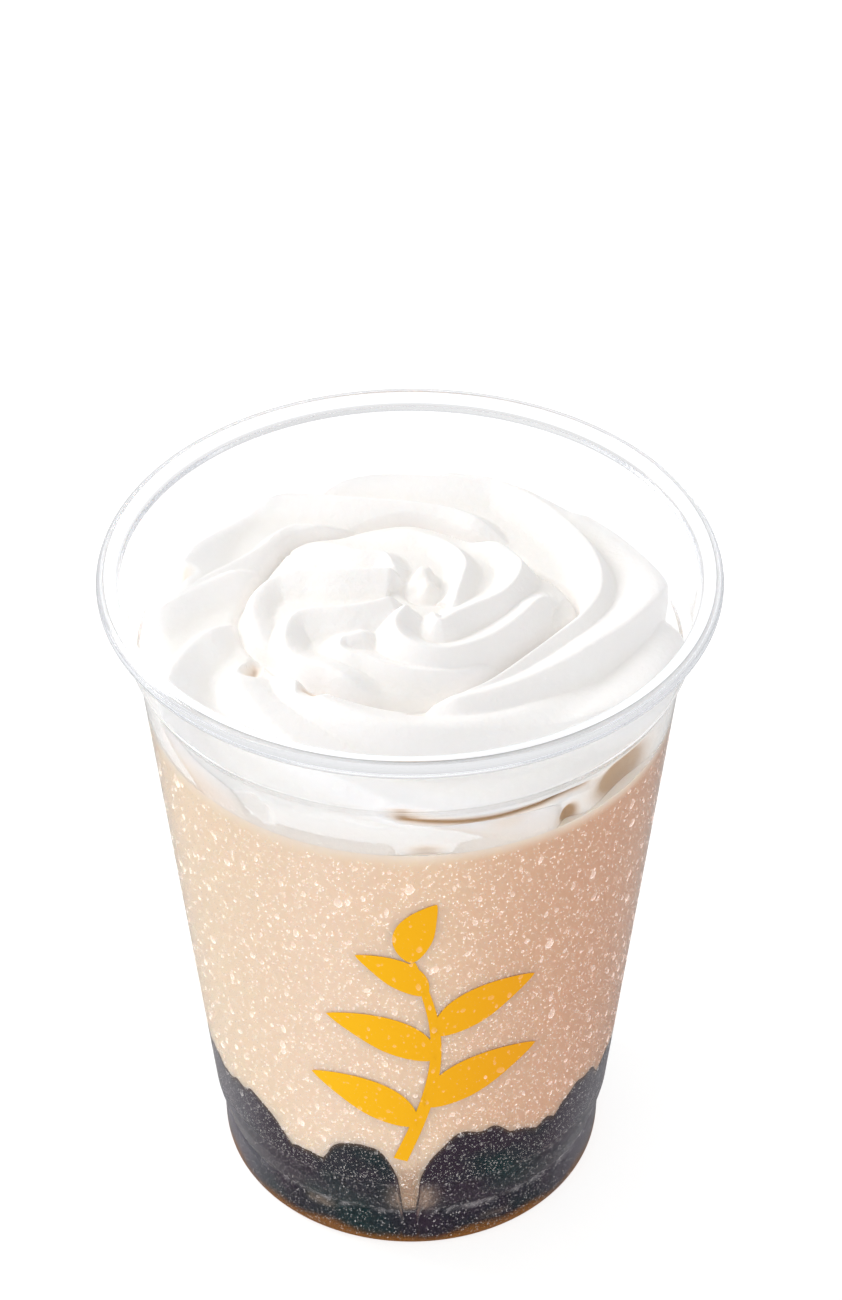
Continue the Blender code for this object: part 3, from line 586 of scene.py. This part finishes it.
LOWER_RIDGES = {
    "back_a": ([
        (37, 44.4), (46, 44.0), (53, 43.7), (59, 42.3), (65, 40.2), (72, 38.4), (80, 37.5), (88, 37.6),
        (97, 39.1), (106, 41.8), (112, 43.7), (116, 44.4),
    ], 2.6, 8.0, 4.0),
    "back_b": ([
        (44, 24.8), (62, 25.5), (75, 26.7), (88, 27.5), (101, 29.0), (112, 31.9), (120, 36.0),
        (125, 40.0), (130, 42.8), (136, 43.5), (144, 42.3), (153, 40.0), (162, 38.0), (172, 36.8),
    ], 3.0, 7.0, 3.4),
    "left_a": ([
        (76, 12.8), (96, 16.0), (109, 20.1), (119, 24.0), (127, 27.4), (132, 29.2), (138, 29.4),
        (145, 29.0), (153, 29.8), (160, 31.7), (166, 34.1), (172, 36.7), (176, 40.1), (180, 44.4),
    ], 2.6, 6.0, 3.0),
    "left_b": ([
        (154, 21.4), (155, 23.5), (157, 25.6), (160, 27.7), (163, 29.8), (167, 32.1), (171, 34.6),
        (175, 37.4), (177, 40.3), (180, 42.7), (183, 43.9), (188, 44.4),
    ], 2.8, 6.0, 4.0),
    "left_c": ([
        (-178, 24.7), (-175, 27.2), (-172, 29.7), (-169, 32.3), (-166, 34.7), (-163, 36.9),
        (-160, 38.7), (-155, 40.5), (-150, 42.3), (-143, 44.4), (-135, 47.0), (-124, 50.0),
    ], 3.0, 6.0, 4.0),
    "left_d": ([
        (-157, 26.0), (-155, 28.0), (-153, 29.8), (-149, 31.1), (-144, 32.0), (-137, 32.7),
        (-130, 33.4), (-122, 34.2), (-114, 35.4), (-107, 36.8), (-99, 38.4), (-90, 40.5), (-78, 43.0),
        (-66, 46.0), (-55, 50.0),
    ], 3.0, 6.0, 4.0),
    "front_a": ([
        (-151, 26.7), (-140, 26.3), (-130, 26.5), (-120, 27.0), (-111, 27.7), (-102, 28.6), (-93, 29.5),
        (-84, 30.2), (-73, 31.1), (-64, 32.3), (-54, 33.5), (-46, 35.0), (-38, 36.8), (-29, 39.0),
        (-19, 41.1), (-9, 42.7), (1, 43.7), (9, 44.4),
    ], 3.2, 7.0, 4.6),
    "front_b": ([
        (-94, 25.5), (-84, 25.1), (-73, 25.0), (-62, 25.3), (-50, 26.0), (-39, 27.1), (-28, 28.8),
        (-18, 30.9), (-10, 33.5), (-2, 36.3), (6, 39.0), (13, 41.3), (21, 43.0), (29, 43.8), (37, 44.0),
        (44, 44.0), (50, 43.7), (57, 43.2),
    ], 3.6, 7.0, 4.0),
    "front_c": ([
        (-89, 24.9), (-79, 24.0), (-69, 23.2), (-57, 22.5), (-46, 22.1), (-35, 22.2), (-25, 23.1),
        (-17, 24.5), (-10, 26.4), (-2, 28.4), (5, 30.2), (13, 31.6), (22, 32.7), (33, 33.7), (45, 34.9),
        (57, 36.7), (68, 38.8), (80, 41.0), (92, 43.2),
    ], 3.0, 6.0, 3.2),
}
CREST_POWER = 1.15  # 1 makes straight flanks, more makes them hollow
CREST_ROUNDING = 0.09  # share of a ridge's width that its crest is rounded over
VALLEY_ROUNDING = 0.14
START_WIDTH = 0.3  # share of its width that a ridge starts with
UPPER_RUN = (4.0, 9.0)  # a ridge rises over the first length and fades over the second
LOWER_RUN = (10.0, 9.0)
RUN_LIMIT = 0.35  # share of a ridge's length that either of them takes at most
CURVE_SAMPLES = 60
BLEND_WIDTH = 0.35  # a ridge's inner side turns into its outer one over this

# Folds pressed into the cream, as (curve, depth, half width, how much shake colour shows in them, turning
# to painted shade where it is strong).
CREASES = [
    ([(-158, 27.3), (-154, 26.9), (-150, 28.6), (-147, 30.4)], 1.5, 1.4, 0.6),
    ([(-133, 25.7), (-127, 25.9), (-120, 25.8)], 1.5, 1.5, 0.6),
    ([(-93, 24.6), (-87, 24.1), (-81, 23.7)], 1.0, 1.3, 0.3),
    ([(140, 25.1), (144, 25.2)], 1.2, 1.3, 0.0),
    ([(159, 38.6), (162, 38.5), (165, 37.5)], 0.9, 1.8, 0.45),
    ([(-98, 40.6), (-86, 41.8), (-74, 42.8), (-64, 43.4), (-54, 44.4), (-45, 46.0)], 1.4, 1.0, 1.0),
    ([(-129, 45.4), (-123, 46.2), (-119, 49.0)], 1.2, 1.4, 0.0),
]
FOLD_ROUNDING = 0.35
FOLD_RUN = (5.0, 5.0)
FOLD_STAIN_POWER = 1.5  # above 1, the shake colour and painted shade show narrower than the fold
# Hollows where the side stands off the cup, as (azimuth, reach, half width in degrees,
# half height, depth, how much shake colour shows in them, turning to painted shade where it is strong).
POCKETS = [
    (-38, 48.0, 10.5, 3.4, 2.4, 1.5), (-55, 49.0, 3.0, 1.9, 1.6, 1.4), (-87, 49.4, 5.0, 1.3, 0.8, 0.6),
    (-141, 48.6, 14.0, 2.6, 0.3, 0.35), (-70, 45.6, 4.5, 1.8, 0.5, 0.3),
]
FOOT_STAIN = 0.12  # how much shake the side shows near its foot
FOOT_STAIN_RUN = (44.0, 48.0)  # and the reach that it sets in over
SHADE_PAINTED_BELOW_CREST = (0.2, 1.6)  # ridges lower than this take on the painted shade of the hollows, a darker, warmer white

# The curled tip, as lobes of (x, y), rise and half width.
TIP_LOBES = [((2.3, 4.2), 3.0, 1.7), ((2.9, 1.4), 1.9, 1.5), ((0.6, 2.6), 0.9, 1.4)]
TIP_PLACE = (2.5, 2.2)
TIP_FOLD = (3.4, 0.7, 0.7)  # the fold in front of the tip: radius, half width, depth
TIP_FOLD_FADE = 1.5  # it ends over this distance to both sides of the tip's middle

CREAM_RINGS = 320
CREAM_SEGMENTS = 720
GRID_TWIST = math.radians(4.0)  # for each mm of reach: the mesh lines lean with the ridges
CROWN_REACH = 0.01  # where the top pole is read


def smooth_values(at, knots, values):
    """Reads a smooth curve through (knot, value) pairs."""
    knots, values = np.array(knots, float), np.array(values, float)
    slope = np.gradient(values, knots)
    cell = np.clip(np.searchsorted(knots, at) - 1, 0, len(knots) - 2)
    width = knots[cell + 1] - knots[cell]
    t = np.clip((at - knots[cell]) / width, 0.0, 1.0)
    return ((2 * t ** 3 - 3 * t ** 2 + 1) * values[cell]
            + (t ** 3 - 2 * t ** 2 + t) * width * slope[cell]
            + (3 * t ** 2 - 2 * t ** 3) * values[cell + 1]
            + (t ** 3 - t ** 2) * width * slope[cell + 1])


def around(azimuth, table):
    """Reads a closed table that has one value every so many degrees."""
    places = np.arange(-2, len(table) + 2)
    return smooth_values(azimuth % 360.0, places * 360.0 / len(table), np.take(table, places, mode="wrap"))


def smooth_curve(points):
    """A smooth curve through (azimuth, reach) points, as plane x and y, and its length."""
    azimuth, reach = np.array(points, float).T
    x, y = reach * np.cos(np.radians(azimuth)), reach * np.sin(np.radians(azimuth))
    knots = np.concatenate([[0.0], np.cumsum(np.hypot(np.diff(x), np.diff(y)))])
    at = np.linspace(0.0, knots[-1], CURVE_SAMPLES)
    return smooth_values(at, knots, x), smooth_values(at, knots, y), knots[-1]


def nearest_on(cx, cy, qx, qy):
    """Distance of points to a line, their side of it, and how far along it they are (0 to 1)."""
    best = np.full(qx.shape, np.inf)
    side = np.zeros(qx.shape)
    along = np.zeros(qx.shape)
    for i in range(len(cx) - 1):
        ex, ey = cx[i + 1] - cx[i], cy[i + 1] - cy[i]
        length = math.hypot(ex, ey)
        t = np.clip(((qx - cx[i]) * ex + (qy - cy[i]) * ey) / length ** 2, 0.0, 1.0)
        dx, dy = qx - cx[i] - t * ex, qy - cy[i] - t * ey
        distance = dx * dx + dy * dy
        nearer = distance < best
        best = np.where(nearer, distance, best)
        side = np.where(nearer, (ey * dx - ex * dy) / length, side)
        along = np.where(nearer, (i + t) / (len(cx) - 1), along)
    return np.sqrt(best), side, along


def ridge_height(px, py, points, height, inner_width, outer_width, rounding, run):
    """Height that one ridge gives at flat points (px, py): steep outside, gentle inside.

    It rises over the first length of run and sinks over the second, and starts out narrow.
    """
    cx, cy, total = smooth_curve(points)
    widest = max(inner_width, outer_width)
    near = ((px > cx.min() - widest) & (px < cx.max() + widest)
            & (py > cy.min() - widest) & (py < cy.max() + widest))
    distance, side, along = nearest_on(cx, cy, px[near], py[near])
    rise, sink = np.minimum(run, total * RUN_LIMIT)
    grown = smoothstep(0.0, rise, along * total)
    fade = grown * smoothstep(0.0, sink, (1.0 - along) * total)
    outside = smoothstep(-1.0, 1.0, side / np.maximum(distance, BLEND_WIDTH))
    reach = distance / (inner_width + (outer_width - inner_width) * outside)
    reach = reach / (START_WIDTH + (1.0 - START_WIDTH) * grown)
    flank = np.sqrt(reach ** 2 + rounding ** 2) - rounding
    result = np.zeros(px.shape)
    result[near] = height * np.clip(1.0 - flank, 0.0, 1.0) ** CREST_POWER * fade
    return result


def ridge_field(px, py, ridges, run):
    """The highest of several ridges, with rounded valleys between them."""
    total = np.zeros(px.shape)
    for points, height, inner_width, outer_width in ridges.values():
        ridge = ridge_height(px, py, points, height, inner_width, outer_width, CREST_ROUNDING, run)
        total += np.exp(ridge / VALLEY_ROUNDING)
    return VALLEY_ROUNDING * np.log(total / len(ridges))


def tip_relief(px, py):
    """The curled tip, less the fold in front of it."""
    relief = np.zeros(px.shape)
    for (lobe_x, lobe_y), rise, width in TIP_LOBES:
        relief += rise * np.exp(-(np.hypot(px - lobe_x, py - lobe_y) / width) ** 3)
    fold_radius, fold_width, fold_depth = TIP_FOLD
    from_tip = np.hypot(px - TIP_PLACE[0], py - TIP_PLACE[1])
    in_front = smoothstep(-TIP_FOLD_FADE, TIP_FOLD_FADE, TIP_PLACE[1] - py)
    return relief - fold_depth * np.exp(-((from_tip - fold_radius) / fold_width) ** 2) * in_front


def cream_relief(azimuth, reach):
    """How far the cream stands proud of its turned profile, and what its colours need."""
    px, py = reach * np.cos(azimuth), reach * np.sin(azimuth)
    degrees = np.degrees(azimuth)
    edge = around(degrees, TIER_EDGE)
    inside = smoothstep(-0.5, 0.5, (edge - reach) / TIER_EDGE_WIDTH)
    share = np.clip(reach / edge, 0.0, 1.0)
    upper = ridge_field(px, py, UPPER_RIDGES, UPPER_RUN) * (1.0 - TIER_FADE * share ** 8)
    lower = ridge_field(px, py, LOWER_RIDGES, LOWER_RUN) * smoothstep(*LOWER_START, reach - edge)
    crest = upper * inside + lower * (1.0 - inside)
    dome = TIER_RISE * np.sqrt(1.0 - share ** 6) + TIER_DOME * (1.0 - share ** 2)
    crease_depth, crease_place, crease_width = EDGE_CREASE
    crease = crease_depth * np.exp(-((reach - edge - crease_place) / crease_width) ** 2)
    relief = crest + dome * inside - crease + tip_relief(px, py)
    stain_and_shade = FOOT_STAIN * smoothstep(*FOOT_STAIN_RUN, reach)
    # folds and pockets show shake, darkened to painted shade where they are deepest
    for points, depth, width, shown in CREASES:
        fold = ridge_height(px, py, points, 1.0, width, width, FOLD_ROUNDING, FOLD_RUN)
        relief -= depth * fold
        stain_and_shade = np.maximum(stain_and_shade, fold ** FOLD_STAIN_POWER * shown)
    for place, middle, half_turn, half_reach, depth, shown in POCKETS:
        turn = (degrees - place + 180.0) % 360.0 - 180.0
        hollow = np.exp(-(turn / half_turn) ** 2 - ((reach - middle) / half_reach) ** 2)
        relief -= depth * hollow
        stain_and_shade = np.maximum(stain_and_shade, hollow * shown)
    return relief, crest, np.minimum(stain_and_shade, 1.0)


def cream_profile(reach):
    """Radius and height of the turned profile."""
    return (smooth_values(reach, PROFILE_REACH, PROFILE_RADIUS),
            smooth_values(reach, PROFILE_REACH, PROFILE_HEIGHT))


def cream_limit(height):
    """The cream never stands further out than the straight wall, drawn on upwards."""
    lean = (SHOULDER_RADIUS - KNEE_RADIUS) / (SHOULDER_HEIGHT - KNEE_HEIGHT)
    return KNEE_RADIUS - SKIN + (height - KNEE_HEIGHT) * lean


def cream_surface(azimuth, reach):
    """Points of the rosette's surface at azimuths in radians, with crest, and stain with painted shade."""
    relief, crest, stain_and_shade = cream_relief(azimuth, reach)
    low_r, low_z = cream_profile(np.maximum(reach - SLOPE_REACH, 0.0))
    high_r, high_z = cream_profile(np.minimum(reach + SLOPE_REACH, PROFILE_REACH[-1]))
    slope_r, slope_z = high_r - low_r, high_z - low_z
    length = np.hypot(slope_r, slope_z)
    radius, height = cream_profile(reach)
    degrees = np.degrees(azimuth)
    shoulder = smoothstep(*SHOULDER_START, reach) * smoothstep(*SHOULDER_END, reach)
    height = height - around(degrees, SHOULDER_DROP) * shoulder
    foot_fade = np.clip((PROFILE_REACH[-1] - reach) / FOOT_FADE, 0.0, 1.0)
    height = np.maximum(height + relief * foot_fade * slope_r / length, CREAM_FOOT)
    inset = around(degrees, SIDE_INSET) * np.clip((reach - INSET_RUN[0]) / INSET_RUN[1], 0.0, 1.0)
    radius = np.minimum(radius - inset - relief * slope_z / length, cream_limit(height))
    return radius * np.cos(azimuth), radius * np.sin(azimuth), height, crest, stain_and_shade


def build_cream(mat):
    reach = np.linspace(PROFILE_REACH[-1], 0.0, CREAM_RINGS + 1)[:-1]
    spread, turn = np.meshgrid(reach, full_turn(CREAM_SEGMENTS), indexing="ij")
    x, y, z, crest, stain_and_shade = cream_surface(turn + GRID_TWIST * spread, spread)
    crown = [float(v[0]) for v in cream_surface(np.zeros(1), np.full(1, CROWN_REACH))[:3]]
    cream = ring_object("cream_rosette", list(np.stack([x, y, z], -1)), (0, 0, CREAM_FOOT), crown, mat,
                        SHARP_ANGLE)
    # painted shade in the hollows, by how low the ridges are
    low = 1.0 - smoothstep(*SHADE_PAINTED_BELOW_CREST, crest.ravel())
    # the two poles come last: the underside's, and the crown
    set_attribute(cream, "hollow", np.append(low, [1.0, 0.0]))
    set_attribute(cream, "stain_and_shade", np.append(stain_and_shade.ravel(), [1.0, 0.0]))
    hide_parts("cream")


# ---- the printed sprig -----------------------------------
# It is laid out flat, by the way across from the front's middle and the height.
PRINT_MIDDLE = 55.0  # height where the way across is measured
PRINT_PROUD = 0.025  # of the cup's outer face
PRINT_MARGIN = 0.8  # a drop this near to a point of the sprig counts as over it
STEM_HEIGHTS = (24.0, 74.0)
STEM_WIDTHS = (2.6, 1.2)  # at its foot and its top
STEM_SHIFT = -2.0  # across, at its foot
STEM_SWAY = 6.0  # to the right
STEM_WAVE = 62.0 / 1.1  # it sways out and back again over this height
STEM_POINTS = 40
# Leaves, as the height where one leaves the stem, its direction, length and width.
LEAVES = [
    (33, 150, 21, 8.5), (38, 28, 22, 9.0), (50, 152, 20, 8.0),
    (56, 32, 19, 8.0), (66, 140, 14, 6.0), (74, 75, 14, 6.0),
]
LEAF_BEND = 0.10  # share of its length that a leaf bows by
LEAF_POINT = 0.02  # width at a leaf's ends
LEAF_POINTS = 26
BAND_COLUMNS = 7


def on_wall(across, up):
    """Points of the print on the cup's outer face."""
    r = outer_radius(up) + PRINT_PROUD
    angle = -math.pi / 2 + across / outer_radius(PRINT_MIDDLE)
    return np.column_stack([r * np.cos(angle), r * np.sin(angle), up])


def ribbon(centre, widths):
    """A flat band along a line of (across, up) points."""
    centre = np.array(centre, float)
    along = np.gradient(centre, axis=0)
    along /= np.linalg.norm(along, axis=1)[:, None]
    side = np.column_stack([-along[:, 1], along[:, 0]])
    half = np.array(widths)[:, None] / 2
    return np.stack([centre + side * half * c for c in np.linspace(-1.0, 1.0, BAND_COLUMNS)], 1)


def leaf(base, direction, length, width):
    """A tea leaf's blade: pointed at both ends, slightly bent."""
    t = np.linspace(0.0, 1.0, LEAF_POINTS)
    d = np.array([math.cos(direction), math.sin(direction)])
    bend = np.array([-d[1], d[0]]) * math.copysign(LEAF_BEND, d[0])
    centre = np.array(base) + np.outer(t, d) * length + np.outer(np.sin(math.pi * t), bend) * length
    return ribbon(centre, width * np.sin(math.pi * t ** 0.85) ** 0.8 + LEAF_POINT)


def stem_point(height):
    """Place of the curved stem at a height."""
    across = STEM_SWAY * math.sin((height - STEM_HEIGHTS[0]) / STEM_WAVE * math.pi) + STEM_SHIFT
    return across, height


def sprig_bands():
    """A generic sprig of tea leaves: a curved stem, with leaves that narrow to a point."""
    stem = [stem_point(z) for z in np.linspace(*STEM_HEIGHTS, STEM_POINTS)]
    bands = [ribbon(stem, np.linspace(*STEM_WIDTHS, STEM_POINTS))]
    for height, direction, length, width in LEAVES:
        bands.append(leaf(stem_point(height), math.radians(direction), length, width))
    return bands


def over_print(azimuth, height):
    """Whether places on the wall lie over the printed sprig; azimuth in radians."""
    across = ((azimuth + 1.5 * math.pi) % (2 * math.pi) - math.pi) * outer_radius(PRINT_MIDDLE)
    over = np.zeros(len(across), bool)
    for mark in np.concatenate([band.reshape(-1, 2) for band in sprig_bands()]):
        over |= np.hypot(across - mark[0], height - mark[1]) < PRINT_MARGIN
    return over


def build_print(mat):
    points, faces = [], []
    for band in sprig_bands():
        start = len(points)
        points += on_wall(*band.reshape(-1, 2).T).tolist()
        faces += [[start + i for i in face] for face in grid_faces(*band.shape[:2], closed=False)]
    ink = make_object("printed_sprig", points, faces, mat)
    # painted shade: the ink deepens towards the right
    set_attribute(ink, "shade_to_right", from_left(azimuth_of(np.array(points))))


# ---- dew -------------------------------------------------
DEW_TOP = SHAKE_LEVEL - 2.0
# Kinds of drops: name, count, range of half widths, rings and sides of one, how much taller the
# tallest are, how far the outlines wander, painted glow of a drop's body and of its lower edge
# (standing in for the light that they scatter and focus), roughness, range of heights.
DEW = [
    ("dew_foot", 8000, (0.07, 0.14), 1, 5, 0.8, 0.0, (0.65, 0.95), 0.4, (1.5, 20.0)),
    ("dew_fine", 38000, (0.08, 0.15), 1, 5, 1.0, 0.0, (0.55, 0.95), 0.4, (16.0, DEW_TOP)),
    ("dew_small", 4600, (0.13, 0.25), 2, 8, 1.1, 0.05, (0.22, 0.95), 0.25, (20.0, DEW_TOP)),
    ("dew_medium", 1000, (0.25, 0.48), 4, 16, 1.5, 0.06, (0.24, 1.0), 0.15, (24.0, DEW_TOP)),
    ("dew_large", 120, (0.48, 0.82), 7, 24, 1.1, 0.07, (0.26, 1.0), 0.1, (28.0, DEW_TOP - 1.0)),
]
DEW_SEED = 7
EVEN_STEPS = np.array([[0.7548777, 0.5698403]])  # a sequence that fills a square evenly
SHIFT_UP = 0.5  # spread of the drops' random shift up or down
SHIFT_ROUND = 0.015  # and round the cup, in radians
SMALL_SHARE = 1.8  # above 1, more drops are near the lower end of their sizes
ROUND_SHARE = 1.5  # above 1, more drops are nearly round
SLANT = 0.12  # spread of the drops' slant
BULGE = 0.42  # how far a drop stands out, for a half width of 1
SINK = 0.02  # how far its edge lies in the wall
PINCH = 0.55  # how much narrower a drop twice as tall as wide gets at its top
WAVES = ((3, 0.5), (5, 0.3))  # in a drop's outline, with their strengths
BODY_PAINTED_SHADE = 0.35  # a drop's body has less painted glow at its top and more at its foot
PAINTED_CRESCENT = (0.35, -0.9, 0.3)  # the painted highlight at a drop's edge: how it brightens to the right, upwards and all round
GLOW_RANGE = (0.55, 1.0)  # of the drops among each other
GLOW_OVER_JELLY = 0.5  # drops would look too bright here, and at the cup's sides
GLOW_OVER_PRINT = 0.4
GLOW_LOSS_AT_SIDES = 0.55
GLOW_SIDES = (0.85, 1.0)  # cosines where the sides begin and end
GLOW_LIMIT = 0.95


def drop_strength(azimuth, height, rng):
    """How brightly each drop's painted glow shines, by chance and by what lies behind it."""
    strength = rng.uniform(*GLOW_RANGE, len(azimuth))
    strength *= np.where(height < heap_line(azimuth), GLOW_OVER_JELLY, 1.0)
    strength *= np.where(over_print(azimuth, height), GLOW_OVER_PRINT, 1.0)
    return strength * (1.0 - GLOW_LOSS_AT_SIDES * smoothstep(*GLOW_SIDES, np.abs(np.cos(azimuth))))


def build_drops(name, count, sizes, rings, sides, stretch, wander, painted_glow, roughness, zone, rng):
    """Many drops joined in one mesh; their places follow an even sequence, so that few touch."""
    even = (np.arange(count)[:, None] * EVEN_STEPS + rng.uniform(0, 1, 2)) % 1.0
    z = np.clip(zone[0] + (zone[1] - zone[0]) * even[:, 0] + rng.normal(0.0, SHIFT_UP, count), *zone)
    azimuth = 2 * math.pi * even[:, 1] + rng.normal(0.0, SHIFT_ROUND, count)
    size = (sizes[0] + (sizes[1] - sizes[0]) * rng.uniform(0, 1, count) ** SMALL_SHARE)[:, None]
    tall = (1.0 + stretch * rng.uniform(0, 1, count) ** ROUND_SHARE)[:, None]
    slant = rng.normal(0.0, SLANT, count)[:, None]
    strength = drop_strength(azimuth, z, rng)
    phases = rng.uniform(0.0, 2 * math.pi, (2, count, 1))

    # one drop, ring by ring from its edge to its top
    slope = np.linspace(0.0, 1.0, rings + 1)[:-1, None] * math.pi / 2
    turn = full_turn(sides)
    u = np.append(np.cos(turn) * np.cos(slope), 0.0)
    v = np.append(np.sin(turn) * np.cos(slope), 0.0)
    out = np.append(np.repeat(np.sin(slope), sides), 1.0)
    # painted highlight: a bright crescent at the drop's lower edge, where it would focus the light
    to_right, to_top, all_round = PAINTED_CRESCENT
    painted_crescent = np.hypot(u, v) ** 4 * np.clip(to_right * u + to_top * v + all_round, 0.0, 1.0)
    painted_shine = painted_glow[0] * (1.0 - BODY_PAINTED_SHADE * v) + (painted_glow[1] - painted_glow[0]) * painted_crescent
    round_drop = np.append(np.tile(turn, rings), 0.0)
    faces = grid_faces(rings, sides) + fan_faces(rings * sides, (rings - 1) * sides, sides, True)

    # all of them: a row for each drop, a column for each point
    pinch = 1.0 - PINCH * np.clip(v, 0, 1) * np.clip(tall - 1.0, 0, 1)
    waves = sum(depth * np.sin(n * round_drop + phase) for (n, depth), phase in zip(WAVES, phases))
    outline = 1.0 + wander * waves
    across = u * size * pinch * outline + slant * v * size
    height = z[:, None] + v * size * tall * outline
    radius = outer_radius(height) - SINK + out * size * BULGE
    angle = azimuth[:, None] + across / outer_radius(z)[:, None]
    points = np.stack([radius * np.cos(angle), radius * np.sin(angle), height], -1).reshape(-1, 3)
    all_faces = [tuple(k + d * len(u) for k in face) for d in range(count) for face in faces]
    drops = make_object(name, points, all_faces, water(name, roughness))
    set_attribute(drops, "painted_glow", np.clip(strength[:, None] * painted_shine, 0.0, GLOW_LIMIT).ravel())


# ---- the stage -------------------------------------------
WORLD_COLOUR = (1.0, 0.995, 0.985)
WORLD_TILT = (-0.16, -0.06, -0.17)  # how the light changes to the right, the back and the top
WORLD_MEAN = 0.93
FLOOR_SIZE = 6.0
FLOOR_DROP = 0.0002  # the floor lies this far under the cup
FLOOR_GREY = 0.35
FLOOR_GLOW = 0.78
FLOOR_GLOW_MIRRORED = 0.06  # the cup's walls mirror a darker floor, so that its contents stay clear
KEY_PLACE = (-0.62, 0.30, 0.62)
KEY_TARGET = (0.0, 0.0, 0.09)
KEY_SIZE = 0.4
KEY_POWER = 3.1
KEY_COLOUR = (1.0, 0.985, 0.96)
BOUNCES = 64  # light runs a long way round inside the thin wall
DIFFUSE_BOUNCES = 7


def build_world():
    """A white room that is brighter on the left and in front than on the right and overhead."""
    world = bpy.data.worlds.new("studio")
    world.use_nodes = True
    tree = world.node_tree
    place = tree.nodes.new("ShaderNodeTexCoord")
    tilt = tree.nodes.new("ShaderNodeVectorMath")
    tilt.operation = "DOT_PRODUCT"
    tilt.inputs[1].default_value = WORLD_TILT
    tree.links.new(place.outputs["Generated"], tilt.inputs[0])
    level = tree.nodes.new("ShaderNodeMath")
    level.operation = "ADD"
    level.inputs[1].default_value = WORLD_MEAN
    tree.links.new(tilt.outputs["Value"], level.inputs[0])
    background = tree.nodes["Background"]
    background.inputs["Color"].default_value = (*WORLD_COLOUR, 1.0)
    tree.links.new(level.outputs["Value"], background.inputs["Strength"])
    bpy.context.scene.world = world


def build_floor():
    """A white floor that glows, and glows less where the cup mirrors it."""
    s = Shader("floor_white", (FLOOR_GREY,) * 3, 0.9, Emission_Color=(1.0, 1.0, 1.0, 1.0))
    path = s.node("ShaderNodeLightPath")
    mirrored = s.node("ShaderNodeMath", operation="SUBTRACT", use_clamp=True)
    s.link(path.outputs["Is Glossy Ray"], mirrored.inputs[0])
    s.link(path.outputs["Is Transmission Ray"], mirrored.inputs[1])
    s.feed(s.spread(mirrored.outputs[0], FLOOR_GLOW, FLOOR_GLOW_MIRRORED), "Emission Strength")
    bpy.ops.mesh.primitive_plane_add(size=FLOOR_SIZE, location=(0, 0, -FLOOR_DROP))
    floor = bpy.context.object
    floor.name = "floor"
    floor.data.materials.append(s.mat)


def build_key_light():
    light = bpy.data.lights.new("key", "AREA")
    light.shape = "RECTANGLE"
    light.size = light.size_y = KEY_SIZE
    light.energy = KEY_POWER
    light.color = KEY_COLOUR
    key = bpy.data.objects.new("key", light)
    bpy.context.scene.collection.objects.link(key)
    key.location = KEY_PLACE
    key.rotation_euler = (Vector(KEY_TARGET) - Vector(KEY_PLACE)).to_track_quat("-Z", "Y").to_euler()


def build_camera():
    camera = bpy.data.cameras.new("camera")
    camera.lens = CAMERA_LENS
    camera.clip_start, camera.clip_end = CAMERA_CLIP
    eye = bpy.data.objects.new("camera", camera)
    bpy.context.scene.collection.objects.link(eye)
    eye.location = (0.0, -CAMERA_BACK * MM, CAMERA_HEIGHT * MM)
    eye.rotation_euler = (math.radians(90 - CAMERA_PITCH), 0.0, -math.radians(CAMERA_YAW))
    bpy.context.scene.camera = eye


def set_render():
    scene = bpy.context.scene
    scene.view_settings.view_transform = "Standard"
    scene.cycles.blur_glossy = 0.0
    scene.cycles.max_bounces = scene.cycles.transmission_bounces = scene.cycles.glossy_bounces = BOUNCES
    scene.cycles.diffuse_bounces = DIFFUSE_BOUNCES


build_cup(clear_plastic())
build_jelly(dark_jelly())
build_shake(shake_liquid())
build_cream(whipped_cream())
build_print(print_ink())
dew_rng = np.random.default_rng(DEW_SEED)
for kind in DEW:
    build_drops(*kind, dew_rng)
build_floor()
build_world()
build_key_light()
build_camera()
set_render()
